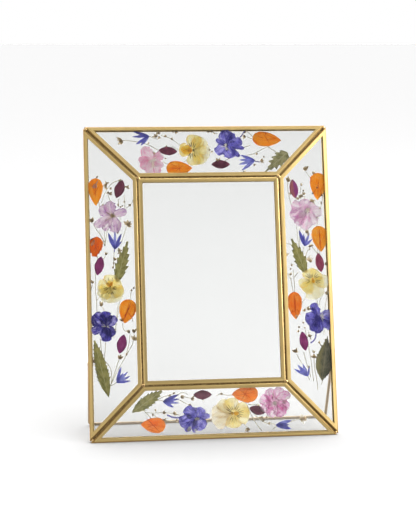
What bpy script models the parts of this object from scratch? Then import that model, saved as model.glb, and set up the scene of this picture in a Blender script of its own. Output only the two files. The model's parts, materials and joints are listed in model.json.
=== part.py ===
"""Free-standing brass and glass picture frame with pressed flowers in its four sloping borders.

+X is to the right, +Y to the back and +Z up, with the origin under the middle of the frame's
bounding box. Everything is modelled flat on the panel that holds it. A panel's own axes run along
its outer edge (X), inwards up the slope (Y) and out of the front face (Z), and an empty leans,
turns and lifts it into place.
"""

import math

import bmesh
import bpy
from mathutils import Vector

MM = 0.001

# Frame, measured on the back faces of the brass, where the five loops meet
FRAME_WIDTH = 184.0 * MM
FRAME_HEIGHT = 233.5 * MM
SIDE_BORDER = 39.1 * MM  # width of the side panels, seen from the front
END_BORDER = 40.0 * MM  # the same for the top and bottom panels
BORDER_RISE = 8.0 * MM  # how far the centre stands in front of the outer edge
LEAN = math.radians(16.0)

# Brass channel (came) and the glass in it
CAME_DEPTH = 4.4 * MM
CAME_FLANGE = 3.0 * MM
CAME_WALL = 0.5 * MM
CAME_BEND = 0.8 * MM
BEND_STEPS = 3
SEAM_GAP = 0.3 * MM  # between neighbouring loops
GLASS_THICK = 1.2 * MM
GLASS_EDGE_GAP = 0.3 * MM
GLASS_FACE_GAP = 0.15 * MM

# Pressed specimens lie in two layers between the sheets
PETAL_THICK = 0.2 * MM
LAYER_HEIGHT = (0.1 * MM, 0.4 * MM)  # above the back sheet

# Rod stand
ROD_RADIUS = 1.1 * MM
ROD_SIDES = 12
ARM_X = 91.7 * MM
ARM_LENGTH = 59.6 * MM
FOOT_BEND = 2.6 * MM
PIN_BEND = 1.6 * MM
PIN_HEAD_RADIUS = 1.7 * MM
PIN_HEAD_THICK = 0.9 * MM
PIN_OVERHANG = 0.35 * MM  # of the pin past its ear
PIVOT_HEIGHT = 59.3 * MM  # up the frame's back
PIVOT_BEHIND = 1.9 * MM  # behind the frame's back

# Hinge ears, one soldered on the back of each side came
EAR_INNER_X = 88.6 * MM
EAR_THICK = 1.2 * MM
EAR_RADIUS = 2.7 * MM
EAR_HOLE_RADIUS = 1.5 * MM
EAR_HOLE_SIDES = 24
EAR_ROUND_START = math.radians(110)  # where the ear's flank meets its round end
EAR_FOOT_GAP = 0.3 * MM
EAR_FOOT_UP = 2.6 * MM
EAR_FOOT_DOWN = 3.6 * MM
STOP_NEAR, STOP_FAR = 3.0 * MM, 6.0 * MM  # along the open arm, from the pivot
STOP_GAP = 0.3 * MM
STOP_WIDTH = 4.3 * MM
STOP_STEP = 0.1 * MM  # the lip stands this far in from the ear's own edge

ROD_APOTHEM = ROD_RADIUS * math.cos(math.pi / ROD_SIDES)
SPECIMEN_BASE = CAME_WALL + GLASS_FACE_GAP + GLASS_THICK

BRASS = (0.72, 0.52, 0.22)
GLASS = (0.93, 0.95, 0.94)
BLUE = (0.22, 0.22, 0.62)
PINK = (0.80, 0.45, 0.62)
LILAC = (0.70, 0.48, 0.70)
MAROON = (0.30, 0.07, 0.14)
ORANGE = (0.90, 0.32, 0.03)
YELLOW = (0.88, 0.72, 0.30)
CREAM = (0.86, 0.78, 0.52)
PURPLE = (0.22, 0.14, 0.52)
GREEN = (0.36, 0.38, 0.15)
DARK_GREEN = (0.24, 0.26, 0.16)


def clear_scene():
    for obj in list(bpy.data.objects):
        bpy.data.objects.remove(obj, do_unlink=True)


def make_material(name, colour, roughness, metallic=0.0, transmission=0.0):
    material = bpy.data.materials.new(name)
    material.use_nodes = True
    shader = material.node_tree.nodes["Principled BSDF"]
    shader.inputs["Base Color"].default_value = (*colour, 1.0)
    shader.inputs["Roughness"].default_value = roughness
    shader.inputs["Metallic"].default_value = metallic
    shader.inputs["Transmission Weight"].default_value = transmission
    material.diffuse_color = (*colour, 0.35 if transmission else 1.0)
    return material


def add_object(name, mesh_builder, material, parent=None):
    """A mesh object from a filled BMesh, with outward normals."""
    bmesh.ops.recalc_face_normals(mesh_builder, faces=mesh_builder.faces)
    mesh = bpy.data.meshes.new(name)
    mesh_builder.to_mesh(mesh)
    mesh_builder.free()
    mesh.materials.append(material)
    obj = bpy.data.objects.new(name, mesh)
    obj.parent = parent
    bpy.context.scene.collection.objects.link(obj)
    return obj


def add_empty(name, location=(0, 0, 0), rotation=(0, 0, 0), parent=None):
    empty = bpy.data.objects.new(name, None)
    empty.location = location
    empty.rotation_euler = rotation
    empty.parent = parent
    bpy.context.scene.collection.objects.link(empty)
    return empty


def skin_rings(builder, rings, close=False):
    """Joins equal rings of vertices with quads, and caps the ends unless they close on themselves."""
    made = [[builder.verts.new(point) for point in ring] for ring in rings]
    pairs = zip(made, made[1:] + made[:1] if close else made[1:])
    for first, second in pairs:
        for k in range(len(first)):
            after = (k + 1) % len(first)
            builder.faces.new((first[k], first[after], second[after], second[k]))
    if not close:
        builder.faces.new(made[0])
        builder.faces.new(made[-1])


def extrude_outline(builder, outline, bottom, top):
    """A flat plate with this outline, between two heights."""
    skin_rings(builder, [[(x, y, z) for x, y in outline] for z in (bottom, top)])


def inset(outline, distance):
    """The convex outline moved inwards by a distance."""
    moved = []
    for k, corner in enumerate(outline):
        before, after = outline[k - 1], outline[(k + 1) % len(outline)]
        sides = [(Vector(corner) - Vector(before)).normalized(),
                 (Vector(after) - Vector(corner)).normalized()]
        first, second = (Vector((-side.y, side.x)) for side in sides)
        shift = (first + second) * distance / (1 + first.dot(second))
        moved.append((corner[0] + shift.x, corner[1] + shift.y))
    return moved


def came_profile():
    """The channel's section as (distance in from the edge, height) pairs, round its whole outside."""
    def bend(start, centre_height):
        steps = [start + math.pi / 2 * k / BEND_STEPS for k in range(BEND_STEPS + 1)]
        return [(CAME_BEND * (1 - math.cos(a)), centre_height + CAME_BEND * math.sin(a))
                for a in steps]

    back, front = bend(-math.pi / 2, CAME_BEND), bend(0, CAME_DEPTH - CAME_BEND)
    return back + front + [
        (CAME_FLANGE, CAME_DEPTH), (CAME_FLANGE, CAME_DEPTH - CAME_WALL),
        (CAME_WALL, CAME_DEPTH - CAME_WALL), (CAME_WALL, CAME_WALL),
        (CAME_FLANGE, CAME_WALL), (CAME_FLANGE, 0.0)]


def add_came(name, outline, parent):
    builder = bmesh.new()
    rings = [[(x, y, height) for x, y in inset(outline, depth)]
             for depth, height in came_profile()]
    skin_rings(builder, rings, close=True)
    return add_object(name, builder, make_material(name, BRASS, 0.32, metallic=1.0), parent)


def add_glass(name, outline, parent):
    """The two sheets that a came holds."""
    pane = inset(outline, CAME_WALL + GLASS_EDGE_GAP)
    stack = CAME_WALL + GLASS_FACE_GAP
    for side, bottom in (("back", stack), ("front", CAME_DEPTH - stack - GLASS_THICK)):
        builder = bmesh.new()
        extrude_outline(builder, pane, bottom, bottom + GLASS_THICK)
        sheet = f"{name}_glass_{side}"
        add_object(sheet, builder, make_material(sheet, GLASS, 0.02, transmission=1.0), parent)


class Panel:
    """One sloping border: its empty, and where a point of the frame's face lies on it."""

    def __init__(self, name, edge_x, edge_z, turn, outer_length, frame):
        width, neighbour = (SIDE_BORDER, END_BORDER) if edge_x else (END_BORDER, SIDE_BORDER)
        self.turn = math.radians(turn)
        self.edge_x, self.edge_z = edge_x, edge_z
        self.slope = math.atan(BORDER_RISE / width)
        self.empty = add_empty(f"{name}_panel", (edge_x, 0, edge_z),
                               (math.pi / 2 + self.slope, self.turn, 0), frame)
        outer, inner = outer_length / 2, outer_length / 2 - neighbour
        length = math.hypot(width, BORDER_RISE)
        corners = [(-outer, 0), (outer, 0), (inner, length), (-inner, length)]
        outline = inset(corners, SEAM_GAP / 2)
        add_came(f"{name}_came", outline, self.empty)
        add_glass(name, outline, self.empty)

    def place(self, x, height, layer):
        """Panel coordinates of a specimen seen at x from the middle and this far up the face."""
        right, up = x * MM - self.edge_x, height * MM - self.edge_z
        lift = SPECIMEN_BASE + LAYER_HEIGHT[layer]
        along = right * math.cos(self.turn) - up * math.sin(self.turn)
        inwards = right * math.sin(self.turn) + up * math.cos(self.turn)
        return along, (inwards + lift * math.sin(self.slope)) / math.cos(self.slope), lift

    def add_specimen(self, name, outline, x, height, angle, colour, layer):
        builder = bmesh.new()
        extrude_outline(builder, outline, 0.0, PETAL_THICK)
        obj = add_object(name, builder, make_material(name, colour, 0.75), self.empty)
        obj.location = self.place(x, height, layer)
        obj.rotation_euler.z = math.radians(angle) + self.turn


def blade(length, width, stalk_fullness, tip_fullness, steps=8, teeth=0.0):
    """A petal or leaf along X, centred. A fullness of 0.5 rounds that end and 1 or more points it.

    With teeth, every second edge point stands out by that share of the width.
    """
    peak = stalk_fullness / (stalk_fullness + tip_fullness)
    tallest = peak ** stalk_fullness * (1 - peak) ** tip_fullness
    side = []
    for k in range(1, steps):
        tooth = k % 2 if teeth else 0
        along = k / steps if teeth else (1 - math.cos(math.pi * k / steps)) / 2
        out = along ** stalk_fullness * (1 - along) ** tip_fullness / tallest / 2 * (1 + teeth * tooth)
        # A tooth leans half a step towards the tip of the leaf
        forward = tooth / steps / 2
        side.append(((along + forward - 0.5) * length * MM, out * width * MM))
    end = length / 2 * MM
    return [(-end, 0.0)] + [(x, -y) for x, y in side] + [(end, 0.0)] + side[::-1]


def lobe_reach(away, length, width):
    """How far an oval petal that starts at the flower's middle reaches, at an angle off its own."""
    if math.cos(away) <= 0:
        return 0.0
    return length * math.cos(away) / (math.cos(away) ** 2 + (length / width * math.sin(away)) ** 2)


def flower(lobes, samples=60, middle=1.5):
    """A flower's outline from its petals, each (angle in degrees, length, width) in millimetres."""
    outline = []
    for k in range(samples):
        angle = math.tau * k / samples
        reach = max([middle] + [lobe_reach(angle - math.radians(turn), length, width)
                                for turn, length, width in lobes]) * MM
        outline.append((reach * math.cos(angle), reach * math.sin(angle)))
    return outline


def floret(petals, cup=1.0, notch=4.0, shoulder=0.62):
    """A side-on floret: narrow pointed petals that fan out of a small cup at the origin.

    Each petal is (angle, length, width), in the order of the angles. It widens in a straight line
    to its shoulder, at a share of its length, and then tapers to its tip.
    """
    petals = [(math.radians(turn), length, width / 2) for turn, length, width in petals]
    spread = [math.atan2(half, shoulder * length) for _, length, half in petals]
    angles = [turn + share * side for (turn, _, _), side in zip(petals, spread)
              for share in (-1, -0.5, 0, 0.5, 1)]
    angles += [(before[0] + after[0]) / 2 for before, after in zip(petals, petals[1:])]
    middle = (petals[0][0] + petals[-1][0]) / 2
    outline = [(-cup * math.cos(middle) * MM, -cup * math.sin(middle) * MM)]
    for angle in sorted(angles):
        reach = notch
        for (turn, length, half), side in zip(petals, spread):
            away = abs(angle - turn)
            if away < side + 1e-6:
                taper = half * math.cos(away) + (1 - shoulder) * length * math.sin(away)
                reach = max(reach, length * half / taper)
        outline.append((reach * math.cos(angle) * MM, reach * math.sin(angle) * MM))
    return outline


def add_specimens(panels):
    """Every pressed flower, petal and leaf, placed by where it is seen on the front of the frame.

    Each row ends with x from the middle, height above the bottom edge, the angle of its own axis
    and the layer it lies in (0 behind, 1 in front).
    """
    maroon = dict(stalk_fullness=0.85, tip_fullness=0.85)
    orange = dict(stalk_fullness=0.5, tip_fullness=0.85)
    serrated = dict(stalk_fullness=0.6, tip_fullness=1.1, steps=14, teeth=0.16)
    rows = {
        "top": [
            ("blue_floret", BLUE, floret([(163, 12, 2.6), (182, 12.5, 2.2), (213, 12, 2.4),
                                          (229, 9.5, 1.8)]),
             -43, 226.9, 0, 0),
            ("pink_larkspur", PINK, flower([(123, 11.5, 8.5), (179, 10.5, 5.5), (222, 10.5, 6.5),
                                            (258, 10.5, 9.5), (302, 11.5, 5.5), (19, 8, 5)]),
             -41.5, 207.9, 0, 0),
            ("maroon_petal_left", MAROON, blade(14.2, 6.5, **maroon), -29.5, 214.9, -5, 0),
            ("yellow_pansy", YELLOW, flower([(174, 10.5, 10.5), (83, 13, 11.5), (45, 13, 10),
                                             (-6, 12.5, 11.5), (-48, 12.5, 9), (-90, 12, 10)]),
             -10.5, 214.9, 0, 1),
            ("orange_petal_left", ORANGE, blade(19.5, 11.9, **orange), -21.5, 201.1, 0, 0),
            ("purple_larkspur", PURPLE, flower([(96, 13.2, 10), (63, 11.5, 5), (21, 12, 8.5),
                                                (-10, 13, 3.5), (-46, 11.5, 3.5), (-76, 10.5, 10),
                                                (-149, 11, 8.5), (149, 9.5, 4)]),
             15.9, 218.7, 0, 0),
            ("maroon_petal_right", MAROON, blade(14.2, 6.6, **maroon), 9.9, 203.9, 0, 0),
            ("orange_petal_right", ORANGE, blade(21.9, 12.3, **orange), 46.4, 223.6, -5, 0),
            ("green_leaf", GREEN, blade(22, 10.5, **serrated), 53.3, 205.7, 219, 0)],
        "left": [
            ("orange_petal_upper", ORANGE, blade(20.9, 11, **orange), -84.2, 184.8, -89, 0),
            ("maroon_petal_upper", MAROON, blade(14.2, 6.9, **maroon), -66.5, 186.3, 69, 0),
            ("lilac_larkspur", LILAC, flower([(141, 10.5, 8), (98, 10.5, 8.5), (14, 11.5, 6.5),
                                              (-72, 13, 8), (-118, 12.5, 6.5), (-149, 14.5, 6.5)]),
             -73, 166.6, 0, 0),
            ("blue_floret", BLUE, floret([(48, 6.5, 1.6), (69, 12.5, 2.4), (88, 13.5, 2.2),
                                          (107, 13, 2.6)]),
             -71, 141.2, 0, 1),
            ("orange_petal_middle", ORANGE, blade(15, 10, **orange), -85, 143.9, -99, 0),
            ("maroon_petal_middle", MAROON, blade(14.4, 6.7, **maroon), -82.7, 129.4, 77, 0),
            ("serrated_leaf", GREEN, blade(29.5, 11.5, **serrated), -65.7, 131.7, 74, 0),
            ("yellow_pansy", YELLOW, flower([(87, 8.6, 9.5), (164, 9, 7.5), (221, 11, 8),
                                             (264, 12, 10), (297, 12, 9), (330, 10, 8), (10, 8, 7)]),
             -75, 113.3, 0, 1),
            ("orange_petal_lower", ORANGE, blade(18, 12.8, **orange), -63, 94.8, -104, 0),
            ("purple_larkspur", PURPLE, flower([(136, 12.5, 12), (87, 10.5, 8), (39, 9.5, 7),
                                                (308, 9, 8), (273, 11, 7), (200, 10.5, 6.5)]),
             -79.2, 84.5, 0, 0),
            ("maroon_petal_lower", MAROON, blade(14.5, 7, **maroon), -67.6, 70.9, 75, 0),
            ("long_leaf", GREEN, blade(43, 9, 0.8, 1.0, steps=24, teeth=0.14), -82.8, 53.2, 103, 0)],
        "right": [
            ("maroon_petal_upper", MAROON, blade(14.7, 6.5, **maroon), 65, 184.8, -82, 0),
            ("orange_petal_upper", ORANGE, blade(20.7, 12, **orange), 84.6, 186.9, -95, 0),
            ("pink_larkspur", PINK, flower([(142, 11.5, 11), (85, 9.5, 9.5), (1, 11, 10),
                                            (310, 9.5, 6), (255, 13, 10.5), (195, 13.5, 11.5)]),
             74.3, 166.8, 0, 0),
            ("blue_floret", BLUE, floret([(40, 6.5, 1.6), (68, 9.5, 2.2), (94, 12.5, 2.8)]),
             71.8, 141, 0, 0),
            ("orange_petal_middle", ORANGE, blade(19.8, 12.8, **orange), 84.3, 146.8, -85, 0),
            ("serrated_leaf", GREEN, blade(24.6, 9.6, **serrated), 67, 133.6, 110, 0),
            ("maroon_petal_middle", MAROON, blade(14.8, 6.7, **maroon), 83.4, 128.7, -82, 0),
            ("yellow_pansy", YELLOW, flower([(113, 8, 10.5), (52, 8, 9.5), (-5, 12.5, 10.5),
                                             (298, 14, 9), (271, 14.5, 10), (227, 10, 9.5),
                                             (195, 11, 6)]),
             76.7, 115.1, 0, 1),
            ("orange_petal_lower", ORANGE, blade(20.5, 11.9, **orange), 62.4, 96.2, -88, 0),
            ("purple_larkspur", PURPLE, flower([(109, 12.5, 7), (176, 10, 10), (233, 10, 5.5),
                                                (262, 10.5, 7.5), (326, 11.5, 4.5), (17, 9.6, 9.5)]),
             80.8, 86, 0, 0),
            ("maroon_petal_lower", MAROON, blade(14.7, 6.7, **maroon), 68.3, 69.5, -81, 0),
            ("broad_leaf", DARK_GREEN, blade(32.8, 11.4, 0.62, 1.1, steps=20, teeth=0.05),
             84.9, 55.8, 80, 0)],
        "bottom": [
            ("green_leaf", GREEN, blade(26.9, 9, **serrated), -50.4, 28.2, 35, 0),
            ("blue_floret", BLUE, floret([(-29, 8.5, 2.6), (-8, 12, 2), (6, 12, 2), (20, 12.5, 2.4)]),
             -38.7, 28.1, 0, 0),
            ("maroon_petal_left", MAROON, blade(13.7, 6.3, **maroon), -9.3, 32, 0, 0),
            ("orange_petal_left", ORANGE, blade(18.3, 11.4, **orange), -46, 10.9, 175, 0),
            ("purple_larkspur", PURPLE, flower([(132, 10.5, 9), (53, 8, 8), (8, 10, 4),
                                                (304, 10, 9.5), (263, 11, 3.5), (232, 12.5, 4),
                                                (194, 12.5, 10.5)]),
             -14.4, 15.2, 0, 0),
            ("cream_pansy", CREAM, flower([(99, 12, 10.5), (-6, 12, 14), (262, 11, 10.5),
                                           (212, 16, 10.5), (179, 15, 12), (141, 14.5, 9)]),
             13.8, 17.6, 0, 0),
            ("orange_petal_right", ORANGE, blade(19.5, 12.9, **orange), 22.3, 31.7, 180, 1),
            ("pink_larkspur", PINK, flower([(151, 11, 9), (98, 11.5, 8.5), (51, 13, 9.5),
                                            (317, 11, 11), (242, 9.5, 10.5), (203, 10, 6.5)]),
             44.8, 24.2, 0, 1),
            ("maroon_petal_right", MAROON, blade(12.5, 6, **maroon), 31.5, 19.4, -19, 0)],
    }
    for side, specimens in rows.items():
        for name, colour, outline, x, height, angle, layer in specimens:
            panels[side].add_specimen(f"{side}_{name}", outline, x, height, angle, colour, layer)


def world_points(obj):
    return [obj.matrix_world @ vertex.co for vertex in obj.data.vertices]


def add_rod(fall):
    """The bent rod, with its origin on the hinge axis and its arms along -Z.

    The flats of its section are turned so that one lies on the table when the arms lean by fall.
    """
    inner_end = EAR_INNER_X - PIN_OVERHANG

    def arc(centre_x, centre_z, radius, start, steps):
        """Points of a quarter turn in the XZ plane, each with its outward direction."""
        for k in range(steps + 1):
            angle = start + math.pi / 2 * k / steps
            outward = Vector((math.cos(angle), 0, math.sin(angle)))
            yield Vector((centre_x, 0, centre_z)) + outward * radius, outward

    foot = list(arc(ARM_X - FOOT_BEND, FOOT_BEND - ARM_LENGTH, FOOT_BEND, -math.pi / 2, 5))
    pin = list(arc(ARM_X - PIN_BEND, -PIN_BEND, PIN_BEND, 0, 4))
    up = Vector((0, 0, 1))
    stations = [(point, outward, ROD_RADIUS) for point, outward in foot + pin]
    stations.append((Vector((inner_end, 0, 0)), up, ROD_RADIUS))
    stations.append((Vector((inner_end, 0, 0)), up, PIN_HEAD_RADIUS))
    stations.append((Vector((inner_end - PIN_HEAD_THICK, 0, 0)), up, PIN_HEAD_RADIUS))

    # The left half is the right one mirrored and walked backwards
    left = [(Vector((-p.x, 0, p.z)), Vector((-o.x, 0, o.z)), r) for p, o, r in reversed(stations)]
    across = Vector((0, 1, 0))
    rings = []
    for point, outward, radius in left + stations:
        ring = []
        for k in range(ROD_SIDES):
            # Outward is down at the foot bar, so the first flat is the one that faces the table
            angle = fall + math.tau * (k + 0.5) / ROD_SIDES
            ring.append(point + (outward * math.cos(angle) - across * math.sin(angle)) * radius)
        rings.append(ring)
    builder = bmesh.new()
    skin_rings(builder, rings)
    return add_object("stand_rod", builder, make_material("stand_rod", BRASS, 0.3, metallic=1.0))


def add_ear(name, side, opening, frame):
    """A lug with the rod's hole and a lip that stops the arm when the stand is open.

    Its outline is in (behind, up) pairs from the hinge axis.
    """
    along = Vector((math.sin(opening), -math.cos(opening)))
    back = Vector((math.cos(opening), math.sin(opening)))
    # The side came's back slopes away from the ear, which comes nearest at its outer face
    slant = (FRAME_WIDTH / 2 - EAR_INNER_X - EAR_THICK) * BORDER_RISE / SIDE_BORDER
    foot = EAR_FOOT_GAP - slant - PIVOT_BEHIND
    turns = [EAR_ROUND_START + (opening - EAR_ROUND_START) * k / 5 for k in range(6)]
    outline = [(foot, EAR_FOOT_UP)]
    outline += [(EAR_RADIUS * math.cos(a), EAR_RADIUS * math.sin(a)) for a in turns]
    stop_face = ROD_RADIUS + STOP_GAP
    outline += [along * STOP_FAR + back * EAR_RADIUS, along * STOP_FAR + back * stop_face,
                (foot, -EAR_FOOT_DOWN)]
    near, far = STOP_NEAR, STOP_FAR - STOP_STEP
    low, high = stop_face + STOP_STEP, EAR_RADIUS - STOP_STEP
    lip = [along * near + back * low, along * far + back * low,
           along * far + back * high, along * near + back * high]

    def slab(slab_name, shape, inner, outer, material):
        builder = bmesh.new()
        skin_rings(builder, [[(side * x, behind, up) for behind, up in shape]
                             for x in (inner, outer)])
        slab_object = add_object(slab_name, builder, material, frame)
        slab_object.location = (0, PIVOT_BEHIND, PIVOT_HEIGHT)
        return slab_object

    material = make_material(name, BRASS, 0.35, metallic=1.0)
    ear = slab(name, outline, EAR_INNER_X, EAR_INNER_X + EAR_THICK, material)
    tab = slab(f"{name}_tab", lip, EAR_INNER_X + EAR_THICK / 2, EAR_INNER_X + STOP_WIDTH, material)
    circle = [math.tau * k / EAR_HOLE_SIDES for k in range(EAR_HOLE_SIDES)]
    hole_shape = [(EAR_HOLE_RADIUS * math.cos(a), EAR_HOLE_RADIUS * math.sin(a)) for a in circle]
    hole = slab(f"{name}_hole", hole_shape, EAR_INNER_X - MM, EAR_INNER_X + EAR_THICK + MM, material)
    for helper, operation in ((tab, "UNION"), (hole, "DIFFERENCE")):
        helper.hide_render = True
        helper.display_type = "WIRE"
        modifier = ear.modifiers.new(helper.name, "BOOLEAN")
        modifier.operation = operation
        modifier.solver = "EXACT"
        modifier.object = helper
    return ear


def main():
    clear_scene()
    frame = add_empty("frame", rotation=(-LEAN, 0, 0))
    middle = FRAME_HEIGHT / 2
    panels = {
        "bottom": Panel("bottom", 0, 0, 0, FRAME_WIDTH, frame),
        "right": Panel("right", FRAME_WIDTH / 2, middle, -90, FRAME_HEIGHT, frame),
        "top": Panel("top", 0, FRAME_HEIGHT, 180, FRAME_WIDTH, frame),
        "left": Panel("left", -FRAME_WIDTH / 2, middle, 90, FRAME_HEIGHT, frame)}
    centre = add_empty("centre_pane", (0, -BORDER_RISE, middle), (math.pi / 2, 0, 0), frame)
    half_width, half_height = FRAME_WIDTH / 2 - SIDE_BORDER, middle - END_BORDER
    opening = [(-half_width, -half_height), (half_width, -half_height),
               (half_width, half_height), (-half_width, half_height)]
    add_came("centre_came", inset(opening, SEAM_GAP / 2), centre)
    add_glass("centre", inset(opening, SEAM_GAP / 2), centre)
    add_specimens(panels)

    # Set the frame down on its lower back edge, then swing the stand until its foot touches too
    bpy.context.view_layer.update()
    frame.location.z = -min(point.z for point in world_points(bpy.data.objects["bottom_came"]))
    bpy.context.view_layer.update()
    pivot = frame.matrix_world @ Vector((0, PIVOT_BEHIND, PIVOT_HEIGHT))
    fall = math.acos((pivot.z - ROD_APOTHEM) / ARM_LENGTH)
    stand = add_empty("stand_hinge", pivot, (fall, 0, 0))
    add_rod(fall).parent = stand
    for name, side in (("hinge_ear_left", -1), ("hinge_ear_right", 1)):
        add_ear(name, side, fall + LEAN, frame)

    # Put the origin under the middle of the bounding box
    bpy.context.view_layer.update()
    reach = [point.y for obj in bpy.data.objects if obj.type == "MESH" and not obj.hide_render
             for point in world_points(obj)]
    shift = -(min(reach) + max(reach)) / 2
    frame.location.y += shift
    stand.location.y += shift


main()
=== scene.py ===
# %% [markdown]
# # A pressed flower photo frame
#
# The real thing is five panes of double glass, each held in its own loop of thin brass channel and
# soldered to its neighbours. Four of them slope back from the middle one like the sides of a low
# pyramid, and pressed flowers lie between their two sheets. A bent brass rod behind props it up.
# This lesson dresses a measured model of it, so that every channel, petal and seed has its real
# look.

# %% Load the measured model
import math
import random

import bmesh
import bpy
from mathutils import Euler, Matrix, Vector, noise
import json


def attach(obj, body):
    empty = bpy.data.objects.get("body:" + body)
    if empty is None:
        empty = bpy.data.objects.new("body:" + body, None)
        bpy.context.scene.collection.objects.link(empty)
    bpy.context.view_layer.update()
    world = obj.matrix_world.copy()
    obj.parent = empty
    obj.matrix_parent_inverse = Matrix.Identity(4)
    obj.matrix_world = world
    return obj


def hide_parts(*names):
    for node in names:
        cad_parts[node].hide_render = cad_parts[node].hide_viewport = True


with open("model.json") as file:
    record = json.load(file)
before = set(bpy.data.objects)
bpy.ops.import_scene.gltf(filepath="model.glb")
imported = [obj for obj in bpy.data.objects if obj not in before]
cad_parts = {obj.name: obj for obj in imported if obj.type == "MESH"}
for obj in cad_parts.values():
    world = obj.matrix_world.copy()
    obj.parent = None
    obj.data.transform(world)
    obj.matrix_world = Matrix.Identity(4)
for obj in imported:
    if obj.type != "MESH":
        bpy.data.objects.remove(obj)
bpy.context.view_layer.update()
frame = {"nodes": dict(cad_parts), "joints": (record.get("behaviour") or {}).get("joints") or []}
MM = 0.001
chance = random.Random(4)

# %% [markdown]
# ## Where things are
#
# A maker would work on each pane while it lies flat on the bench, and only then lean and solder
# it. We do the same: everything is modelled flat, in millimetres from the middle of a pane's outer
# edge, and a matrix lifts it into the standing frame. The sizes are the ones that the solids have.

# %% Sizes of the frame and of its brass channel
WIDTH, HEIGHT = 184.0, 233.5
SIDE_BORDER, END_BORDER, RISE = 39.1, 40.0, 8.0
LEAN = math.radians(16)
DEPTH, FLANGE, WALL, BEND, SEAM = 4.4, 3.0, 0.5, 0.8, 0.3
GLASS, FACE_GAP = 1.2, 0.15
PIVOT_BEHIND, PIVOT_UP = 1.9, 59.3
hinge = frame["joints"][0]
to_metres = Matrix.Scale(MM, 4)
leaning = Euler((-LEAN, 0, 0)).to_matrix()
foot_corner = Vector(hinge["pos_m"]) / MM - leaning @ Vector((0, PIVOT_BEHIND, PIVOT_UP))
standing = to_metres @ Matrix.Translation(foot_corner) @ leaning.to_4x4()


class Pane:
    """One pane: its corners on the bench, and the matrix that puts it in the standing frame."""

    def __init__(self, name, edge_x, edge_z, turn, outer, width, neighbour):
        self.name, self.edge_x, self.edge_z = name, edge_x, edge_z
        self.turn, self.slope = math.radians(turn), math.atan(RISE / width)
        self.outer, self.inner = outer / 2, outer / 2 - neighbour
        self.length = math.hypot(width, RISE)
        self.matrix = (standing @ Matrix.Translation((edge_x, 0, edge_z))
                       @ Euler((math.pi / 2 + self.slope, self.turn, 0)).to_matrix().to_4x4())

    def spot(self, x, up, lift):
        """Bench coordinates of a point at x from the middle and this far up the frame's face."""
        right, high = x - self.edge_x, up - self.edge_z
        along = right * math.cos(self.turn) - high * math.sin(self.turn)
        inwards = right * math.sin(self.turn) + high * math.cos(self.turn)
        return Vector((along, (inwards + lift * math.sin(self.slope)) / math.cos(self.slope), lift))


panes = {
    "bottom": Pane("bottom", 0, 0, 0, WIDTH, END_BORDER, SIDE_BORDER),
    "right": Pane("right", WIDTH / 2, HEIGHT / 2, -90, HEIGHT, SIDE_BORDER, END_BORDER),
    "top": Pane("top", 0, HEIGHT, 180, WIDTH, END_BORDER, SIDE_BORDER),
    "left": Pane("left", -WIDTH / 2, HEIGHT / 2, 90, HEIGHT, SIDE_BORDER, END_BORDER)}
centre_matrix = (standing @ Matrix.Translation((0, -RISE, HEIGHT / 2))
                 @ Euler((math.pi / 2, 0, 0)).to_matrix().to_4x4())
HALF_WIDTH, HALF_HEIGHT = WIDTH / 2 - SIDE_BORDER, HEIGHT / 2 - END_BORDER
print("middle pane", 2 * HALF_WIDTH, "by", 2 * HALF_HEIGHT, "mm")

# %% [markdown]
# ## The camera
#
# The camera stands where the photographer's did: a little left of the frame and above it, with a
# long lens. It comes first, because the finest things are placed along its line of sight.

# %% Stand the camera
FOCUS, PHOTO_WIDTH, PHOTO_HEIGHT, SENSOR = 1300, 416, 525, 36  # in pixels, and the sensor in mm
lens = bpy.data.cameras.new("camera")
lens.sensor_fit, lens.sensor_width, lens.lens = "AUTO", SENSOR, SENSOR * FOCUS / PHOTO_HEIGHT
lens.clip_start, lens.clip_end = 0.05, 50
camera = bpy.data.objects.new("camera", lens)
bpy.context.scene.collection.objects.link(camera)
camera.location = (-0.1175, -0.95016, 0.2966)
camera.rotation_euler = [math.radians(turn) for turn in (79.93, -0.113, -6.923)]
bpy.context.scene.camera = camera
bpy.context.scene.view_settings.view_transform = "Standard"
bpy.context.view_layer.update()
print("camera stands", round(camera.location.length, 2), "m away")

# %% [markdown]
# ## Working by hand, in code
#
# Blender's operators act on whatever is selected, so each one starts from a clean selection, and
# faces and edges are picked by where they are or which way they look.


# %% Helpers for selecting and finishing
def clear():
    """Object mode, with nothing selected."""
    if bpy.context.object and bpy.context.object.mode != "OBJECT":
        bpy.ops.object.mode_set(mode="OBJECT")
    bpy.ops.object.select_all(action="DESELECT")


def take(piece):
    clear()
    piece.select_set(True)
    bpy.context.view_layer.objects.active = piece
    return piece


def edit(piece, kind, action="SELECT"):
    take(piece)
    bpy.ops.object.mode_set(mode="EDIT")
    bpy.ops.mesh.select_mode(type=kind)
    bpy.ops.mesh.select_all(action=action)


def pick(piece, kind, wanted):
    """Goes into edit mode and selects the vertices, edges or faces that the test likes."""
    edit(piece, kind, "DESELECT")
    mesh = bmesh.from_edit_mesh(piece.data)
    items = {"VERT": mesh.verts, "EDGE": mesh.edges, "FACE": mesh.faces}[kind]
    for item in items:
        if wanted(item):
            item.select_set(True)
    mesh.select_flush_mode()
    bmesh.update_edit_mesh(piece.data)


def apply_modifier(piece, kind, **settings):
    take(piece)
    modifier = piece.modifiers.new(kind.title(), kind)
    for name, value in settings.items():
        setattr(modifier, name, value)
    bpy.ops.object.modifier_apply(modifier=modifier.name)


def name_it(name):
    piece = bpy.context.object
    piece.name = piece.data.name = name
    return piece


def join(pieces, name):
    take(pieces[0])
    for piece in pieces:
        piece.select_set(True)
    if len(pieces) > 1:
        bpy.ops.object.join()
    return name_it(name)


def outward(piece):
    """Turns every face of a closed piece to look outwards."""
    edit(piece, "FACE")
    bpy.ops.mesh.remove_doubles(threshold=1e-5)
    bpy.ops.mesh.normals_make_consistent(inside=False)
    clear()


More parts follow.
